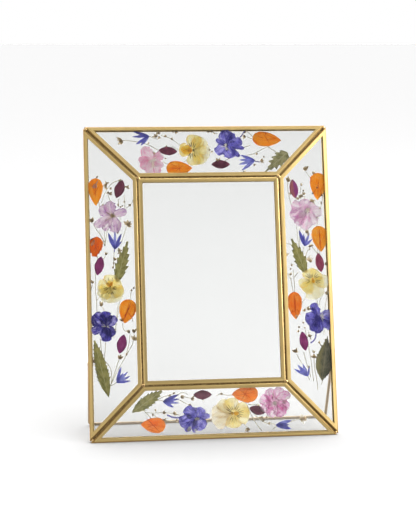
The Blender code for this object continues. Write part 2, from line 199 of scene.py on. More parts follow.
def stand_up(piece, matrix):
    """Lifts a piece from the bench into the frame, and leaves its object at the origin."""
    take(piece)
    piece.matrix_world = matrix
    bpy.ops.object.transform_apply()


def dress(piece, finish, smooth=30):
    piece.data.materials.clear()
    piece.data.materials.append(finish.material)
    take(piece)
    bpy.ops.object.shade_smooth_by_angle(angle=math.radians(smooth))
    clear()


def settle(piece, matrix, finish, smooth, node_name=None, body="frame"):
    """Lifts and dresses a piece, hides the solid it stands for and attaches it to its body."""
    stand_up(piece, matrix)
    dress(piece, finish, smooth)
    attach(piece, body)
    if node_name:
        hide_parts(node_name)


def own_map(piece):
    return piece.data.uv_layers.get("UVMap") or piece.data.uv_layers.new(name="UVMap")


def write_map(piece, where):
    """Writes a piece's map: where(face, point) gives its two numbers in millimetres."""
    layer = own_map(piece)
    for face in piece.data.polygons:
        for loop in face.loop_indices:
            point = piece.data.vertices[piece.data.loops[loop].vertex_index].co
            first, second = where(face, point)
            layer.data[loop].uv = (first * MM, second * MM)


def mark(piece, name, value):
    """Writes numbers on the points of a piece for its finish: one for all, or a list of them."""
    values = value if isinstance(value, list) else [value] * len(piece.data.vertices)
    piece.data.attributes.new(name, "FLOAT", "POINT").data.foreach_set("value", values)


print("helpers ready")

# %% [markdown]
# ## Writing finishes as sums
#
# A finish is easiest to read as arithmetic: a mask times a colour, one noise plus another. This
# small class lets us write it so, and each sum becomes a Math node.


# %% Shader sums
class Value:
    """What comes out of a node."""

    def __init__(self, finish, socket):
        self.finish, self.socket = finish, socket

    def sum(self, operation, *values):
        return self.finish.add("ShaderNodeMath", {"operation": operation}, dict(enumerate(values)))

    def __add__(self, other):
        return self.sum("ADD", self, other)

    __radd__ = __add__

    def __sub__(self, other):
        return self.sum("SUBTRACT", self, other)

    def __rsub__(self, other):
        return self.sum("SUBTRACT", other, self)

    def __mul__(self, other):
        return self.sum("MULTIPLY", self, other)

    __rmul__ = __mul__

    def __pow__(self, other):
        return self.sum("POWER", self, other)

    def __abs__(self):
        return self.sum("ABSOLUTE", self)

    def wave(self):
        """A smooth wave from 0 to 1, once for every whole number."""
        return self.sum("SINE", self * math.tau) * 0.5 + 0.5

    def capped(self):
        return self.finish.add("ShaderNodeClamp", {}, {0: self, 1: 0.0, 2: 1.0})


class Finish:
    """A material in the making."""

    def __init__(self, name, owner=None):
        self.material = owner or bpy.data.materials.new(name)
        self.material.use_nodes = True
        self.tree = self.material.node_tree
        self.surface = self.tree.nodes["Background" if owner else "Principled BSDF"]

    def fill(self, socket, value):
        if isinstance(value, Value):
            self.tree.links.new(value.socket, socket)
        elif isinstance(value, tuple) and socket.type == "RGBA":
            socket.default_value = (*value, 1.0)
        else:
            socket.default_value = value

    def add(self, kind, settings, values, output=0):
        """Any node: its type, its settings, and the values or links of its sockets."""
        node = self.tree.nodes.new(kind)
        for name, value in settings.items():
            setattr(node, name, value)
        for name, value in values.items():
            self.fill(node.inputs[name], value)
        return Value(self, node.outputs[output])

    def place(self):
        return self.add("ShaderNodeTexCoord", {}, {}, "Object")

    def cloud(self, scale, detail=2.0, where=None):
        where = where or self.place()
        return self.add("ShaderNodeTexNoise", {},
                        {"Vector": where, "Scale": scale, "Detail": detail})

    def step(self, value, low, high):
        """0 below low and 1 above high, with a soft edge."""
        return self.add("ShaderNodeMapRange", {"interpolation_type": "SMOOTHSTEP"},
                        {"Value": value, "From Min": low, "From Max": high})

    def blend(self, share, first, second):
        return self.add("ShaderNodeMix", {"data_type": "RGBA"}, {0: share, 6: first, 7: second}, 2)

    def vector(self, x, y, z=0.0):
        return self.add("ShaderNodeCombineXYZ", {}, {0: x, 1: y, 2: z})

    def split(self, vector):
        """The three numbers of a vector."""
        node = self.add("ShaderNodeSeparateXYZ", {}, {0: vector}).socket.node
        return [Value(self, output) for output in node.outputs]

    def across(self):
        """A piece's own map: how far along it, and how far across."""
        return self.split(self.add("ShaderNodeUVMap", {}, {}))[:2]

    def mark(self, name):
        return self.add("ShaderNodeAttribute", {"attribute_name": name}, {}, "Fac")

    def bump(self, height, strength, distance):
        normal = self.add("ShaderNodeBump", {}, {"Height": height, "Strength": strength,
                                                 "Distance": distance}, "Normal")
        self.set(Normal=normal)

    def set(self, **values):
        for name, value in values.items():
            self.fill(self.surface.inputs[name.replace("_", " ")], value)


print("shader sums ready")

# %% [markdown]
# ## Brass
#
# The channel is drawn through a die, which leaves fine lines along it, and then it dulls in
# patches. Its side walls and bends are painted darker, and the inner edges of its flanges a little:
# partly patina, and partly painted shade in the seams' V and a painted dark reflection on the
# bends. Each channel gets a map that runs along its bars, so that the drawn lines can follow them
# round the corners.


# %% The brass finishes
def brass_finish(name, bright, tarnish_and_shade_colour, rough):
    finish = Finish(name)
    along, section = finish.across()
    lines = finish.vector(along * 15.0, section * 7000.0)
    wide = finish.vector(along * 4.0, section * 1100.0, 3.0)
    drawn = finish.cloud(1.0, 3.0, lines)
    bands = finish.step(finish.cloud(1.0, 1.0, wide), 0.42, 0.58)
    patches = finish.cloud(60.0, 3.0)
    # Painted shade and dark reflection, with some patina: the side walls and bends darken, all
    # round the bend for a bar at the rim of the frame, and the inner edges of the flanges a little
    wall = 1.0 - finish.step(abs(section) - finish.mark("rim") * 0.9 * MM, 1.7 * MM, 2.7 * MM)
    lip = finish.step(abs(section), 4.5 * MM, 5.1 * MM)
    tarnish_and_shade = (wall * 0.95 + lip * 0.35 + bands * 0.32 + finish.step(patches, 0.45, 0.75) * 0.15
               + (drawn - 0.5) * 0.3).capped()
    finish.set(Base_Color=finish.blend(tarnish_and_shade, bright, tarnish_and_shade_colour), Metallic=1.0,
               Roughness=rough + tarnish_and_shade * 0.12 + drawn * 0.08)
    finish.bump(drawn, 0.6, 0.02 * MM)
    return finish


brass = brass_finish("drawn_brass", (1.0, 0.75, 0.32), (0.36, 0.218, 0.07), 0.4)
rod_brass = brass_finish("rod_brass", (0.4, 0.32, 0.22), (0.3, 0.23, 0.15), 0.6)

solder = Finish("solder")
grains = solder.cloud(900.0, 3.0)
solder.set(Base_Color=solder.blend(solder.step(grains, 0.35, 0.65), (0.66, 0.46, 0.2),
                                   (0.34, 0.22, 0.1)),
           Metallic=1.0, Roughness=0.3 + grains * 0.2)
solder.bump(grains, 0.5, 0.1 * MM)
print("brass, rod brass and solder")

# %% [markdown]
# ## Glass
#
# Window glass, two sheets to a pane. The sheets' solids are already the right shape, so they only
# get a finish: clear, with a trace of grey-green.

# %% The glass finish
glass = Finish("clear_glass")
glass.set(Base_Color=(0.95, 0.955, 0.95), Roughness=0.0, Transmission_Weight=1.0, IOR=1.5)


def give(node, finish):
    """Puts a finish on a measured solid that keeps its shape."""
    node.data.materials.clear()
    node.data.materials.append(finish.material)


for node_name, node in frame["nodes"].items():
    if "_glass_" in node_name:
        give(node, glass)
print("ten sheets of glass")

# %% [markdown]
# ## The brass loops
#
# A loop starts as a plate the size of the pane. Its outer edges are rounded, a window is cut in
# each face to leave the flanges, and Solidify gives the shell that is left the thickness of the
# sheet metal. That is quicker than bending four bars, and the corners come out mitred.

# %% Make a loop of channel
WINDOW_AREA = 500  # square millimetres; only the front and the back of a plate are larger


def half_width_at(y, outer, slant):
    """Half the width of the pane at a distance up from its outer edge, clear of the seam."""
    return outer - slant * y - SEAM / 2 * math.hypot(1, slant)


def channel_loop(name, outer, inner, low, high):
    """A loop round a pane whose sides slant from outer to inner between two heights."""
    slant = (outer - inner) / (high - low)
    bottom, top = low + SEAM / 2, high - SEAM / 2
    wide, narrow = (half_width_at(y - low, outer, slant) for y in (bottom, top))
    clear()
    bpy.ops.mesh.primitive_plane_add(size=1, location=(0, (bottom + top) / 2, 0))
    piece = name_it(name)
    piece.scale = (2 * wide, top - bottom, 1)
    bpy.ops.object.transform_apply()
    pick(piece, "VERT", lambda v: v.co.y > (bottom + top) / 2)
    bpy.ops.transform.resize(value=(narrow / wide, 1, 1), center_override=(0, top, 0))
    bpy.ops.mesh.select_all(action="SELECT")
    bpy.ops.mesh.extrude_region_move(TRANSFORM_OT_translate={"value": (0, 0, DEPTH)})
    # Round the edges that run round the front and the back
    pick(piece, "EDGE", lambda e: abs(e.verts[0].co.z - e.verts[1].co.z) < 1e-4)
    bpy.ops.mesh.bevel(offset=BEND, segments=5, affect="EDGES", clamp_overlap=False)
    # Cut the window in each face
    for z in (0, DEPTH):
        pick(piece, "FACE",
             lambda f: abs(f.calc_center_median().z - z) < 1e-4 and f.calc_area() > WINDOW_AREA)
        bpy.ops.mesh.inset(thickness=FLANGE - BEND, use_even_offset=True)
        bpy.ops.mesh.delete(type="FACE")
    outward(piece)
    apply_modifier(piece, "SOLIDIFY", thickness=WALL, offset=-1, use_even_offset=True)
    map_bars(piece, [(-wide, bottom), (wide, bottom), (narrow, top), (-narrow, top)])
    # A border's loop starts at 0, and its first bar is at the rim of the frame, where the brass
    # finish paints shade all round its bend
    mark(piece, "rim", [float(low == 0 and v.co.y < bottom + FLANGE) for v in piece.data.vertices])
    return piece


def map_bars(piece, corners):
    """Maps each face along the bar it belongs to (first number) and round its section (second)."""
    bars = []
    for k, corner in enumerate(corners):
        start, end = Vector(corner), Vector(corners[(k + 1) % 4])
        ahead = (end - start).normalized()
        bars.append((start, ahead, Vector((-ahead.y, ahead.x))))

    def where(face, point):
        start, ahead, inwards = min(
            bars, key=lambda bar: abs((face.center.xy - bar[0]).dot(bar[2])))
        away = (point.xy - start).dot(inwards)
        side = point.z - DEPTH / 2
        return (point.xy - start).dot(ahead), side + math.copysign(away, side)

    write_map(piece, where)


loops = []
for pane in panes.values():
    loop = channel_loop(f"{pane.name}_channel", pane.outer, pane.inner, 0, pane.length)
    loops.append((loop, pane.matrix, f"{pane.name}_came"))
loops.append((channel_loop("centre_channel", HALF_WIDTH, HALF_WIDTH, -HALF_HEIGHT, HALF_HEIGHT),
              centre_matrix, "centre_came"))
for loop, matrix, node_name in loops:
    settle(loop, matrix, brass, 30, node_name)
    print(loop.name, len(loop.data.polygons), "faces")

# %% [markdown]
# ## Solder
#
# Solder runs into the V between two loops and holds them. It shows as a dark line at the bottom of
# each seam, and as small shiny lumps where three loops meet. A seam is a thin bar laid from corner
# to corner. The lumps are flattened balls, each stretched and dented a little differently.

# %% Run the solder into the seams
SEAM_THICK, SEAM_LOW, SEAM_HIGH = 0.9, 0.12, 3.0  # its thickness, and its reach into the V
INNER_TILT, MITRE_TILT, MITRE_START = 0.1, 0.14, 1.2


def seam_bar(start, end, out):
    """A bar from start to end that fills the bottom of the seam, whose mouth opens along out."""
    ahead = (end - start).normalized()
    out = (out - ahead * out.dot(ahead)).normalized()
    side = out.cross(ahead)
    clear()
    bpy.ops.mesh.primitive_cube_add(size=1)
    bar = name_it("seam")
    turn = Matrix((side, ahead, out)).transposed().to_4x4()
    span = (end - start).length
    halfway = (start + end) / 2 + out * (SEAM_LOW + SEAM_HIGH) / 2
    bar.matrix_world = (Matrix.Translation(halfway) @ turn
                        @ Matrix.Diagonal((SEAM_THICK, span, SEAM_HIGH - SEAM_LOW, 1)))
    bpy.ops.object.transform_apply()
    return bar


signs = ((-1, -1), (1, -1), (1, 1), (-1, 1))
outer_corner = [Vector((sx * WIDTH / 2, 0, HEIGHT / 2 * (1 + sz))) for sx, sz in signs]
inner_corner = [Vector((sx * HALF_WIDTH, -RISE, HEIGHT / 2 + sz * HALF_HEIGHT)) for sx, sz in signs]
seams = []
for k in range(4):
    # The mouth leans half the slope of the border, away from the middle
    first, second = inner_corner[k], inner_corner[(k + 1) % 4]
    away = (first + second) / 2 - Vector((0, -RISE, HEIGHT / 2))
    seams.append(seam_bar(first, second, Vector((0, -1, 0)) + away.normalized() * INNER_TILT))
for outside, inside in zip(outer_corner, inner_corner):
    ahead = (inside - outside).normalized()
    away = Vector((outside.x, 0, outside.z - HEIGHT / 2)).normalized()
    seams.append(seam_bar(outside + ahead * MITRE_START, inside,
                          Vector((0, -1, 0)) + away * MITRE_TILT))
seam_piece = join(seams, "seam_solder")
settle(seam_piece, standing, solder, 30)
print(len(seams), "seams")

# %% Drop a lump of solder where loops meet
DENT = 0.12  # how far a lump's surface strays from a ball's, as a share of its radius


def lump(spot, size, flat):
    clear()
    bpy.ops.mesh.primitive_ico_sphere_add(subdivisions=3, radius=size)
    piece = name_it("lump")
    edit(piece, "VERT")
    bpy.ops.transform.resize(value=(chance.uniform(0.9, 1.25), flat, chance.uniform(0.9, 1.25)))
    clear()
    for vertex in piece.data.vertices:
        vertex.co *= 1 + DENT * noise.noise(vertex.co * 1.1 + spot)
    take(piece)
    piece.location = spot
    bpy.ops.object.transform_apply()
    return piece


lumps = []
for outside, inside in zip(outer_corner, inner_corner):
    ahead = (inside - outside).normalized()
    # In front and behind, at the inner corner and at the outer one: place, depth, size, flatness
    for place, y, size, flat in ((inside, 0.4 - DEPTH, 1.35, 0.7), (inside, 0.1, 1.5, 0.45),
                                 (outside + ahead * 1.8, 0.5 - DEPTH, 0.95, 0.7),
                                 (outside + ahead * 3.0, 0.0, 1.2, 0.4)):
        lumps.append(lump(place + Vector((0, y, 0)), size, flat))
lump_piece = join(lumps, "corner_solder")
settle(lump_piece, standing, solder, 180)
print(len(lumps), "lumps")

# %% [markdown]
# ## The rod stand
#
# One brass rod is bent four times: a foot bar, two arms, and two short pins that turn in the lugs.
# A circle of points is swept along it, straight runs by extruding and bends by Spin, as a bender
# would.

# %% Bend the rod
ROD, ARM_X, ARM_LENGTH, FOOT_BEND, PIN_BEND = 1.1, 91.7, 59.6, 2.6, 1.6
PIN_END, PIN_HEAD, HEAD_THICK = 88.25, 1.7, 0.9
MEASURED_SIDES = 12  # of the measured rod, which rests on one of its flats
flat_radius = ROD * math.cos(math.pi / MEASURED_SIDES)
fall = math.acos((hinge["pos_m"][2] / MM - flat_radius) / ARM_LENGTH)


def sweep(piece, distance):
    bpy.ops.mesh.extrude_region_move(TRANSFORM_OT_translate={"value": distance})


clear()
bpy.ops.mesh.primitive_circle_add(vertices=24, radius=ROD, fill_type="NGON",
                                  location=(0, 0, -ARM_LENGTH), rotation=(0, math.pi / 2, 0))
rod = name_it("stand_rod_half")
bpy.ops.object.transform_apply()
pick(rod, "FACE", lambda f: True)
sweep(rod, (ARM_X - FOOT_BEND, 0, 0))
bpy.ops.mesh.spin(steps=10, angle=math.pi / 2, axis=(0, 1, 0),
                  center=(ARM_X - FOOT_BEND, 0, FOOT_BEND - ARM_LENGTH))
sweep(rod, (0, 0, ARM_LENGTH - FOOT_BEND - PIN_BEND))
bpy.ops.mesh.spin(steps=8, angle=math.pi / 2, axis=(0, 1, 0),
                  center=(ARM_X - PIN_BEND, 0, -PIN_BEND))
sweep(rod, (PIN_END - ARM_X + PIN_BEND, 0, 0))
clear()
ends = [round(max(v.co[k] for v in rod.data.vertices), 2) for k in range(3)]
print("half rod reaches", ends, "with", len(rod.data.polygons), "faces")

# %% Head, mirror and set the rod down
pick(rod, "FACE",
     lambda f: abs(f.calc_center_median().x - PIN_END) < 0.01 and abs(f.normal.x) > 0.99)
bpy.ops.mesh.inset(thickness=0.0)
bpy.ops.mesh.extrude_region_move(TRANSFORM_OT_translate={"value": (0, 0, 0)})
bpy.ops.transform.resize(value=(1, PIN_HEAD / ROD, PIN_HEAD / ROD), center_override=(PIN_END, 0, 0))
sweep(rod, (-HEAD_THICK, 0, 0))
# The face that the first sweep started from is open to its mirror image
pick(rod, "FACE", lambda f: abs(f.calc_center_median().x) < 0.01)
bpy.ops.mesh.delete(type="FACE")
clear()
apply_modifier(rod, "MIRROR", use_axis=(True, False, False), merge_threshold=0.01)
take(rod)
rod = name_it("bent_rod_stand")
outward(rod)
# The finish takes the second number for a distance round a channel, here between wall and lip
write_map(rod, lambda face, point: (point.x + point.z, 3.0 + 0.5 * math.sin(point.y * 2)))
swing = (to_metres @ Matrix.Translation(Vector(hinge["pos_m"]) / MM)
         @ Euler((fall, 0, 0)).to_matrix().to_4x4())
settle(rod, swing, rod_brass, 40, "stand_rod", "stand")
lowest = min(v.co.z for v in rod.data.vertices)
print("rod", len(rod.data.polygons), "faces, lowest point", round(lowest * 1000, 3), "mm")

# %% The lugs keep their solids, in brass
for node_name in ("hinge_ear_left", "hinge_ear_right"):
    give(frame["nodes"][node_name], solder)
print("two lugs keep their solids")

# %% [markdown]
# ## Petals and leaves, one of each kind
#
# A petal is a thin blade. Each kind is made once, one unit long and one wide: a grid, whose rows
# are moved and narrowed one by one until the outline is right, with a little unevenness so that no
# two edges match. Every second row of a leaf is wider and pushed forward, which makes its teeth.
# Flowers are then put together from stretched copies, as nature does.

# %% Shape a blade from a grid
ASIDE = 10  # a row that is done waits this far along, so that it isn't picked twice


def blade(name, profile, rows=16, columns=8, uneven=0.05, teeth=0.0, seed=1):
    """A flat blade whose half width at each share of its length is given by profile."""
    odd = random.Random(seed)
    clear()
    bpy.ops.mesh.primitive_grid_add(x_subdivisions=rows, y_subdivisions=columns, size=1,
                                    location=(0.5, 0, 0))
    piece = name_it(name)
    bpy.ops.object.transform_apply()
    for k in range(rows + 1):
        here = k / rows
        there = here if teeth else (1 - math.cos(math.pi * here)) / 2
        inside = 0 < k < rows
        wide = max(profile(there), 0.0) * (1 + odd.uniform(-uneven, uneven) * inside)
        tooth = teeth * (k % 2) * inside * odd.uniform(0.6, 1.4)
        pick(piece, "VERT", lambda v: abs(v.co.x - here) < 1e-4)
        bpy.ops.transform.resize(value=(1, wide * (1 + tooth), 1), center_override=(here, 0, 0))
        shift = odd.uniform(-uneven, uneven) * 0.3 * inside
        bpy.ops.transform.translate(value=(there - here + ASIDE, shift, 0))
        if tooth:
            edge = wide * (1 + tooth) / 2
            pick(piece, "VERT", lambda v: abs(v.co.x - there - ASIDE) < 1e-4
                 and abs(v.co.y - shift) > edge * 0.9)
            bpy.ops.transform.translate(value=(1.1 / rows, 0, 0))
    edit(piece, "VERT")
    bpy.ops.transform.translate(value=(-ASIDE, 0, 0))
    bpy.ops.mesh.remove_doubles(threshold=1e-4)
    clear()
    return piece


def fullness(stalk, tip):
    """A profile that is round at an end of 0.5 and pointed at an end of 1."""
    peak = stalk / (stalk + tip)
    tallest = peak ** stalk * (1 - peak) ** tip
    return lambda x: (x ** stalk * (1 - x) ** tip / tallest) if 0 < x < 1 else 0.0


def several(kind, count, *shape, **settings):
    return [blade(f"{kind}_{k}", fullness(*shape), seed=ord(kind[0]) + k, **settings)
            for k in range(count)]


masters = {
    "oval": several("oval", 4, 0.62, 0.42, uneven=0.13),
    "fan": several("fan", 4, 0.72, 0.34, uneven=0.08),
    "lens": several("lens", 2, 0.85, 0.85, uneven=0.03),
    "drop": several("drop", 3, 0.5, 0.85, uneven=0.035),
    "tulip": several("tulip", 2, 0.5, 0.95, uneven=0.06),
    "torn": several("torn", 1, 0.36, 0.75, rows=12, teeth=0.1, uneven=0.06),
    "spike": several("spike", 3, 0.85, 0.95, rows=10, columns=4, uneven=0.1),
    "stroke": several("stroke", 2, 0.5, 0.6, rows=5, columns=2, uneven=0.2),
    "leaf": several("leaf", 2, 0.65, 1.25, rows=14, teeth=0.42, uneven=0.08),
    "jag": several("jag", 1, 0.6, 1.5, rows=12, teeth=0.7, uneven=0.08),
    "tooth": several("tooth", 2, 0.8, 0.95, rows=18, teeth=0.4, uneven=0.08),
    "long": several("long", 1, 0.75, 0.95, rows=30, teeth=0.26, uneven=0.05),
    "broad": several("broad", 1, 0.95, 1.5, rows=28, teeth=0.12, uneven=0.03)}
print({kind: len(group[0].data.polygons) for kind, group in masters.items()})

# %% [markdown]
# ## Finishes of dried petals
#
# A pressed petal is a thin film. It keeps its colour unevenly: deep where it is double or creased,
# pale where the press drew the colour out, in streaks that run out from the heart. Its rim is
# painted darker, partly its own colour and partly painted shade for the thin shadow where one petal
# lies on another. It lets light through, so part of its finish is translucent. Each petal carries
# two marks: how deep its colour is, and a number that shifts its streaks, so that no two are alike.

# %% Petal finishes
finishes = {}


def film(finish, colour, share):
    """Lets some light through a thin finish; each of its two sides takes half of the colour."""
    half = finish.add("ShaderNodeGamma", {}, {"Color": colour, "Gamma": 0.5})
    through = finish.add("ShaderNodeBsdfTranslucent", {}, {"Color": half})
    body = Value(finish, finish.surface.outputs[0])
    mixed = finish.add("ShaderNodeMixShader", {}, {0: share, 1: body, 2: through})
    finish.tree.links.new(mixed.socket, finish.tree.nodes["Material Output"].inputs["Surface"])


def petal_finish(key, name, slot, deep, light, pale, line, cover=0.97, spread=1.0, folds=0.5,
                 rim=0.4, glow=0.7, veins=0.3, heart=None, second=None):
    """Colours from deep to pale, line for the rim, partly painted shade, and for folds; cover is
    how much light the film stops.
    """
    finish = finishes[key] = Finish(name)
    finish.slot = slot
    along, across = finish.across()
    depth, shift = finish.mark("depth"), finish.mark("shift")
    grain = finish.vector(along * 1.6, across * 6.0, shift)
    crease = finish.vector(along * 1.5, across * 3.0, shift + 5.0)
    threads = finish.vector(along * 2.2, across * 8.0, shift + 9.0)
    streaks = finish.cloud(1.0, 4.0, grain)
    patches = finish.cloud(260.0, 3.0)
    amount = depth + ((patches - 0.5) * 1.9 + (streaks - 0.5) * 1.9) * spread
    colour = finish.blend(finish.step(amount, -0.1, 0.5), pale, light)
    colour = finish.blend(finish.step(amount, 0.5, 1.1), colour, deep)
    if second:
        colour = finish.blend(finish.step(across + (patches - 0.5) * 0.3, 0.4, 0.6), colour, second)
    if heart:
        colour = finish.blend((1.0 - finish.step(along, 0.05, 0.42)) * 0.85, colour, heart)
    vein = 1.0 - finish.step(abs(finish.cloud(1.0, 2.0, threads) - 0.5), 0.012, 0.06)
    colour = finish.blend(vein * veins, colour, pale)
    fold = 1.0 - finish.step(abs(finish.cloud(1.0, 1.0, crease) - 0.5), 0.004, 0.026)
    # The rim is painted darker: partly the petal's own colour, partly painted shade where petals
    # overlap
    edge = finish.step(abs(across - 0.5), 0.42, 0.5)
    dark = (fold * folds + edge * rim).capped()
    colour = finish.blend(dark, colour, line)
    face = 1.0 - math.sqrt(1.0 - cover)
    dense = dark + finish.step(amount, 0.2, 1.0)
    finish.set(Base_Color=colour, Alpha=face + dense * 0.5 * (1.0 - face),
               Roughness=0.6 + patches * 0.2, Specular_IOR_Level=0.2)
    finish.bump(fold * 0.6 + streaks + patches, 0.5, 0.15 * MM)
    film(finish, colour, glow)


petal_finish("blue", "cornflower_blue", "blue_petal", (0.06, 0.055, 0.38), (0.13, 0.13, 0.6),
             (0.4, 0.42, 0.86), (0.06, 0.05, 0.34), folds=0.35)
petal_finish("pink", "larkspur_pink", "pink_petal", (0.84, 0.3, 0.5), (0.92, 0.54, 0.7),
             (0.96, 0.86, 0.88), (0.74, 0.22, 0.42), 0.72, folds=0.8, rim=0.8, spread=1.3,
             veins=0.7, heart=(0.96, 0.88, 0.84), glow=0.5)
petal_finish("pale_pink", "larkspur_pale_pink", "pink_petal",
             (0.78, 0.32, 0.56), (0.92, 0.58, 0.76), (0.98, 0.88, 0.92), (0.56, 0.22, 0.5), 0.56,
             folds=0.9, rim=0.9, spread=1.3, veins=0.7, heart=(0.97, 0.93, 0.9), glow=0.45)
petal_finish("hot_pink", "larkspur_hot_pink", "pink_petal", (0.85, 0.22, 0.56), (0.94, 0.46, 0.75),
             (0.99, 0.87, 0.92), (0.6, 0.1, 0.36), 0.7, folds=1.0, rim=1.0, spread=1.5, veins=1.0,
             heart=(1.0, 0.92, 0.9), glow=0.68)
petal_finish("lilac", "larkspur_lilac", "lilac_petal", (0.46, 0.2, 0.52), (0.8, 0.5, 0.72),
             (0.96, 0.84, 0.88), (0.38, 0.15, 0.42), 0.7, folds=0.8, rim=0.7, spread=1.9, veins=0.5,
             heart=(0.95, 0.86, 0.76), glow=0.6)
petal_finish("purple", "larkspur_purple", "purple_petal", (0.07, 0.055, 0.34), (0.19, 0.16, 0.7),
             (0.5, 0.46, 0.93), (0.035, 0.026, 0.22), folds=0.85, rim=0.7, spread=1.6)
petal_finish("violet_blue", "larkspur_violet_blue", "purple_petal",
             (0.035, 0.025, 0.24), (0.075, 0.055, 0.5), (0.5, 0.45, 0.85), (0.022, 0.015, 0.15),
             0.96, folds=0.85, rim=0.6, spread=1.5)
petal_finish("maroon", "maroon_petal", "maroon_petal", (0.11, 0.018, 0.042), (0.18, 0.03, 0.065),
             (0.26, 0.06, 0.11), (0.07, 0.012, 0.03), 0.99, folds=0.3, glow=0.6)
petal_finish("magenta", "magenta_petal", "maroon_petal", (0.2, 0.02, 0.11), (0.32, 0.03, 0.18),
             (0.45, 0.08, 0.3), (0.12, 0.012, 0.07), 0.99, folds=0.3, glow=0.6)
petal_finish("rose", "rose_petal", "maroon_petal", (0.26, 0.03, 0.075), (0.37, 0.05, 0.12),
             (0.46, 0.1, 0.18), (0.14, 0.012, 0.04), 0.99, folds=0.3, glow=0.6)
petal_finish("brick", "brick_petal", "maroon_petal", (0.36, 0.1, 0.11), (0.45, 0.12, 0.14),
             (0.55, 0.18, 0.2), (0.26, 0.05, 0.08), 0.99, folds=0.3, glow=0.6,
             second=(0.3, 0.035, 0.24))
petal_finish("orange", "orange_petal", "orange_petal", (0.95, 0.21, 0.004), (0.98, 0.34, 0.01),
             (0.98, 0.48, 0.06), (0.75, 0.1, 0.004), 0.99, folds=0.8, rim=0.25, glow=0.85,
             veins=0.15)
petal_finish("deep_orange", "deep_orange_petal", "orange_petal",
             (0.94, 0.15, 0.008), (0.98, 0.26, 0.018), (0.98, 0.42, 0.07), (0.65, 0.07, 0.004),
             0.99, folds=0.8, rim=0.3, glow=0.85, veins=0.15)
petal_finish("red_orange", "red_orange_petal", "orange_petal",
             (0.85, 0.09, 0.003), (0.95, 0.17, 0.005), (0.97, 0.3, 0.02), (0.55, 0.04, 0.004), 0.99,
             folds=0.8, rim=0.3, glow=0.8, veins=0.1)
petal_finish("yellow", "pansy_yellow", "yellow_petal", (1.0, 0.78, 0.24), (1.0, 0.89, 0.44),
             (1.0, 0.95, 0.66), (0.9, 0.58, 0.12), 0.5, folds=0.6, rim=0.8, glow=0.92, spread=1.1,
             veins=0.15)
petal_finish("gold", "pansy_gold", "yellow_petal", (0.95, 0.46, 0.02), (0.95, 0.66, 0.08),
             (0.95, 0.78, 0.25), (0.85, 0.42, 0.04), 0.95, folds=0.4, heart=(0.93, 0.36, 0.01),
             glow=0.75)
petal_finish("greenish", "pansy_greenish", "yellow_petal", (0.97, 0.86, 0.44), (0.98, 0.92, 0.62),
             (0.98, 0.95, 0.78), (0.84, 0.72, 0.36), 0.5, folds=0.6, rim=0.9, glow=0.75)
petal_finish("cream", "pansy_cream", "cream_petal", (0.98, 0.8, 0.34), (0.98, 0.89, 0.52),
             (0.98, 0.94, 0.74), (0.8, 0.58, 0.24), 0.6, folds=0.8, rim=0.8, glow=0.95)
petal_finish("beige", "pansy_beige", "cream_petal", (0.9, 0.76, 0.52), (0.94, 0.86, 0.66),
             (0.96, 0.92, 0.8), (0.7, 0.54, 0.36), 0.62, folds=0.8, rim=0.8, glow=0.9)
petal_finish("amber", "pansy_heart", "yellow_petal", (0.9, 0.3, 0.01), (0.96, 0.46, 0.02),
             (0.96, 0.62, 0.08), (0.7, 0.2, 0.01), 0.99, folds=0.3, glow=0.8)
petal_finish("ray", "pansy_rays", "yellow_petal", (0.05, 0.045, 0.04), (0.09, 0.08, 0.06),
             (0.2, 0.18, 0.13), (0.03, 0.03, 0.03), 0.97, glow=0.5)
petal_finish("stamen", "pale_stamens", "pink_petal", (0.85, 0.78, 0.6), (0.95, 0.92, 0.82),
             (0.98, 0.97, 0.95), (0.6, 0.5, 0.26), 0.97, glow=0.5)
petal_finish("pale_seed", "pale_seed_heads", "green_leaf", (0.84, 0.66, 0.42), (1.0, 0.9, 0.74),
             (1.0, 0.97, 0.9), (0.6, 0.4, 0.22), 0.97, glow=0.9, spread=1.5, rim=0.25)
petal_finish("olive", "olive_stamens", "lilac_petal", (0.3, 0.23, 0.08), (0.55, 0.46, 0.2),
             (0.75, 0.68, 0.42), (0.16, 0.12, 0.04), 0.97, glow=0.7)
petal_finish("stem", "dry_stem", "green_leaf", (0.44, 0.34, 0.16), (0.6, 0.52, 0.3),
             (0.74, 0.72, 0.52), (0.4, 0.3, 0.14), 0.85, folds=0.0, rim=0.0, glow=0.7)
petal_finish("seed", "seed_heads", "green_leaf", (0.28, 0.18, 0.07), (0.62, 0.44, 0.22),
             (0.92, 0.8, 0.58), (0.16, 0.1, 0.035), 0.99, folds=0.3, rim=0.4, spread=2.2)
petal_finish("grey", "grey_spots", "orange_petal", (0.42, 0.35, 0.33), (0.6, 0.52, 0.5),
             (0.78, 0.72, 0.7), (0.16, 0.1, 0.09), 0.9, folds=0.4, rim=0.4)
petal_finish("crease", "orange_creases", "orange_petal", (0.56, 0.06, 0.008), (0.66, 0.09, 0.01),
             (0.75, 0.14, 0.015), (0.5, 0.05, 0.008), 0.85, folds=0.0, rim=0.0)
print(len(finishes), "petal finishes")


# %% Leaf finishes
def leaf_finish(key, name, slot, dark, light, rib, side_ribs=7.0, edge=None, glow=0.6):
    finish = finishes[key] = Finish(name)
    finish.slot = slot
    along, across = finish.across()
    out = abs(across - 0.5)
    patches = finish.cloud(300.0, 4.0)
    midrib = 1.0 - finish.step(out, 0.015, 0.06)
    ribs = ((along - out * 0.55) * side_ribs + (patches - 0.5) * 0.5).wave() ** 6.0
    colour = finish.blend(finish.step(patches, 0.36, 0.64), dark, light)
    if edge:
        colour = finish.blend(finish.step(across + (patches - 0.5) * 0.4, 0.55, 0.85), colour, edge)
    colour = finish.blend((midrib + ribs * 0.6).capped() * 0.7, colour, rib)
    rim = finish.step(out, 0.44, 0.5)
    colour = finish.blend(rim * 0.35, colour, dark)
    finish.set(Base_Color=colour, Roughness=0.65 + patches * 0.15, Specular_IOR_Level=0.25)
    finish.bump(midrib + ribs * 0.6 + patches * 0.8, 0.6, 0.15 * MM)
    film(finish, colour, glow)


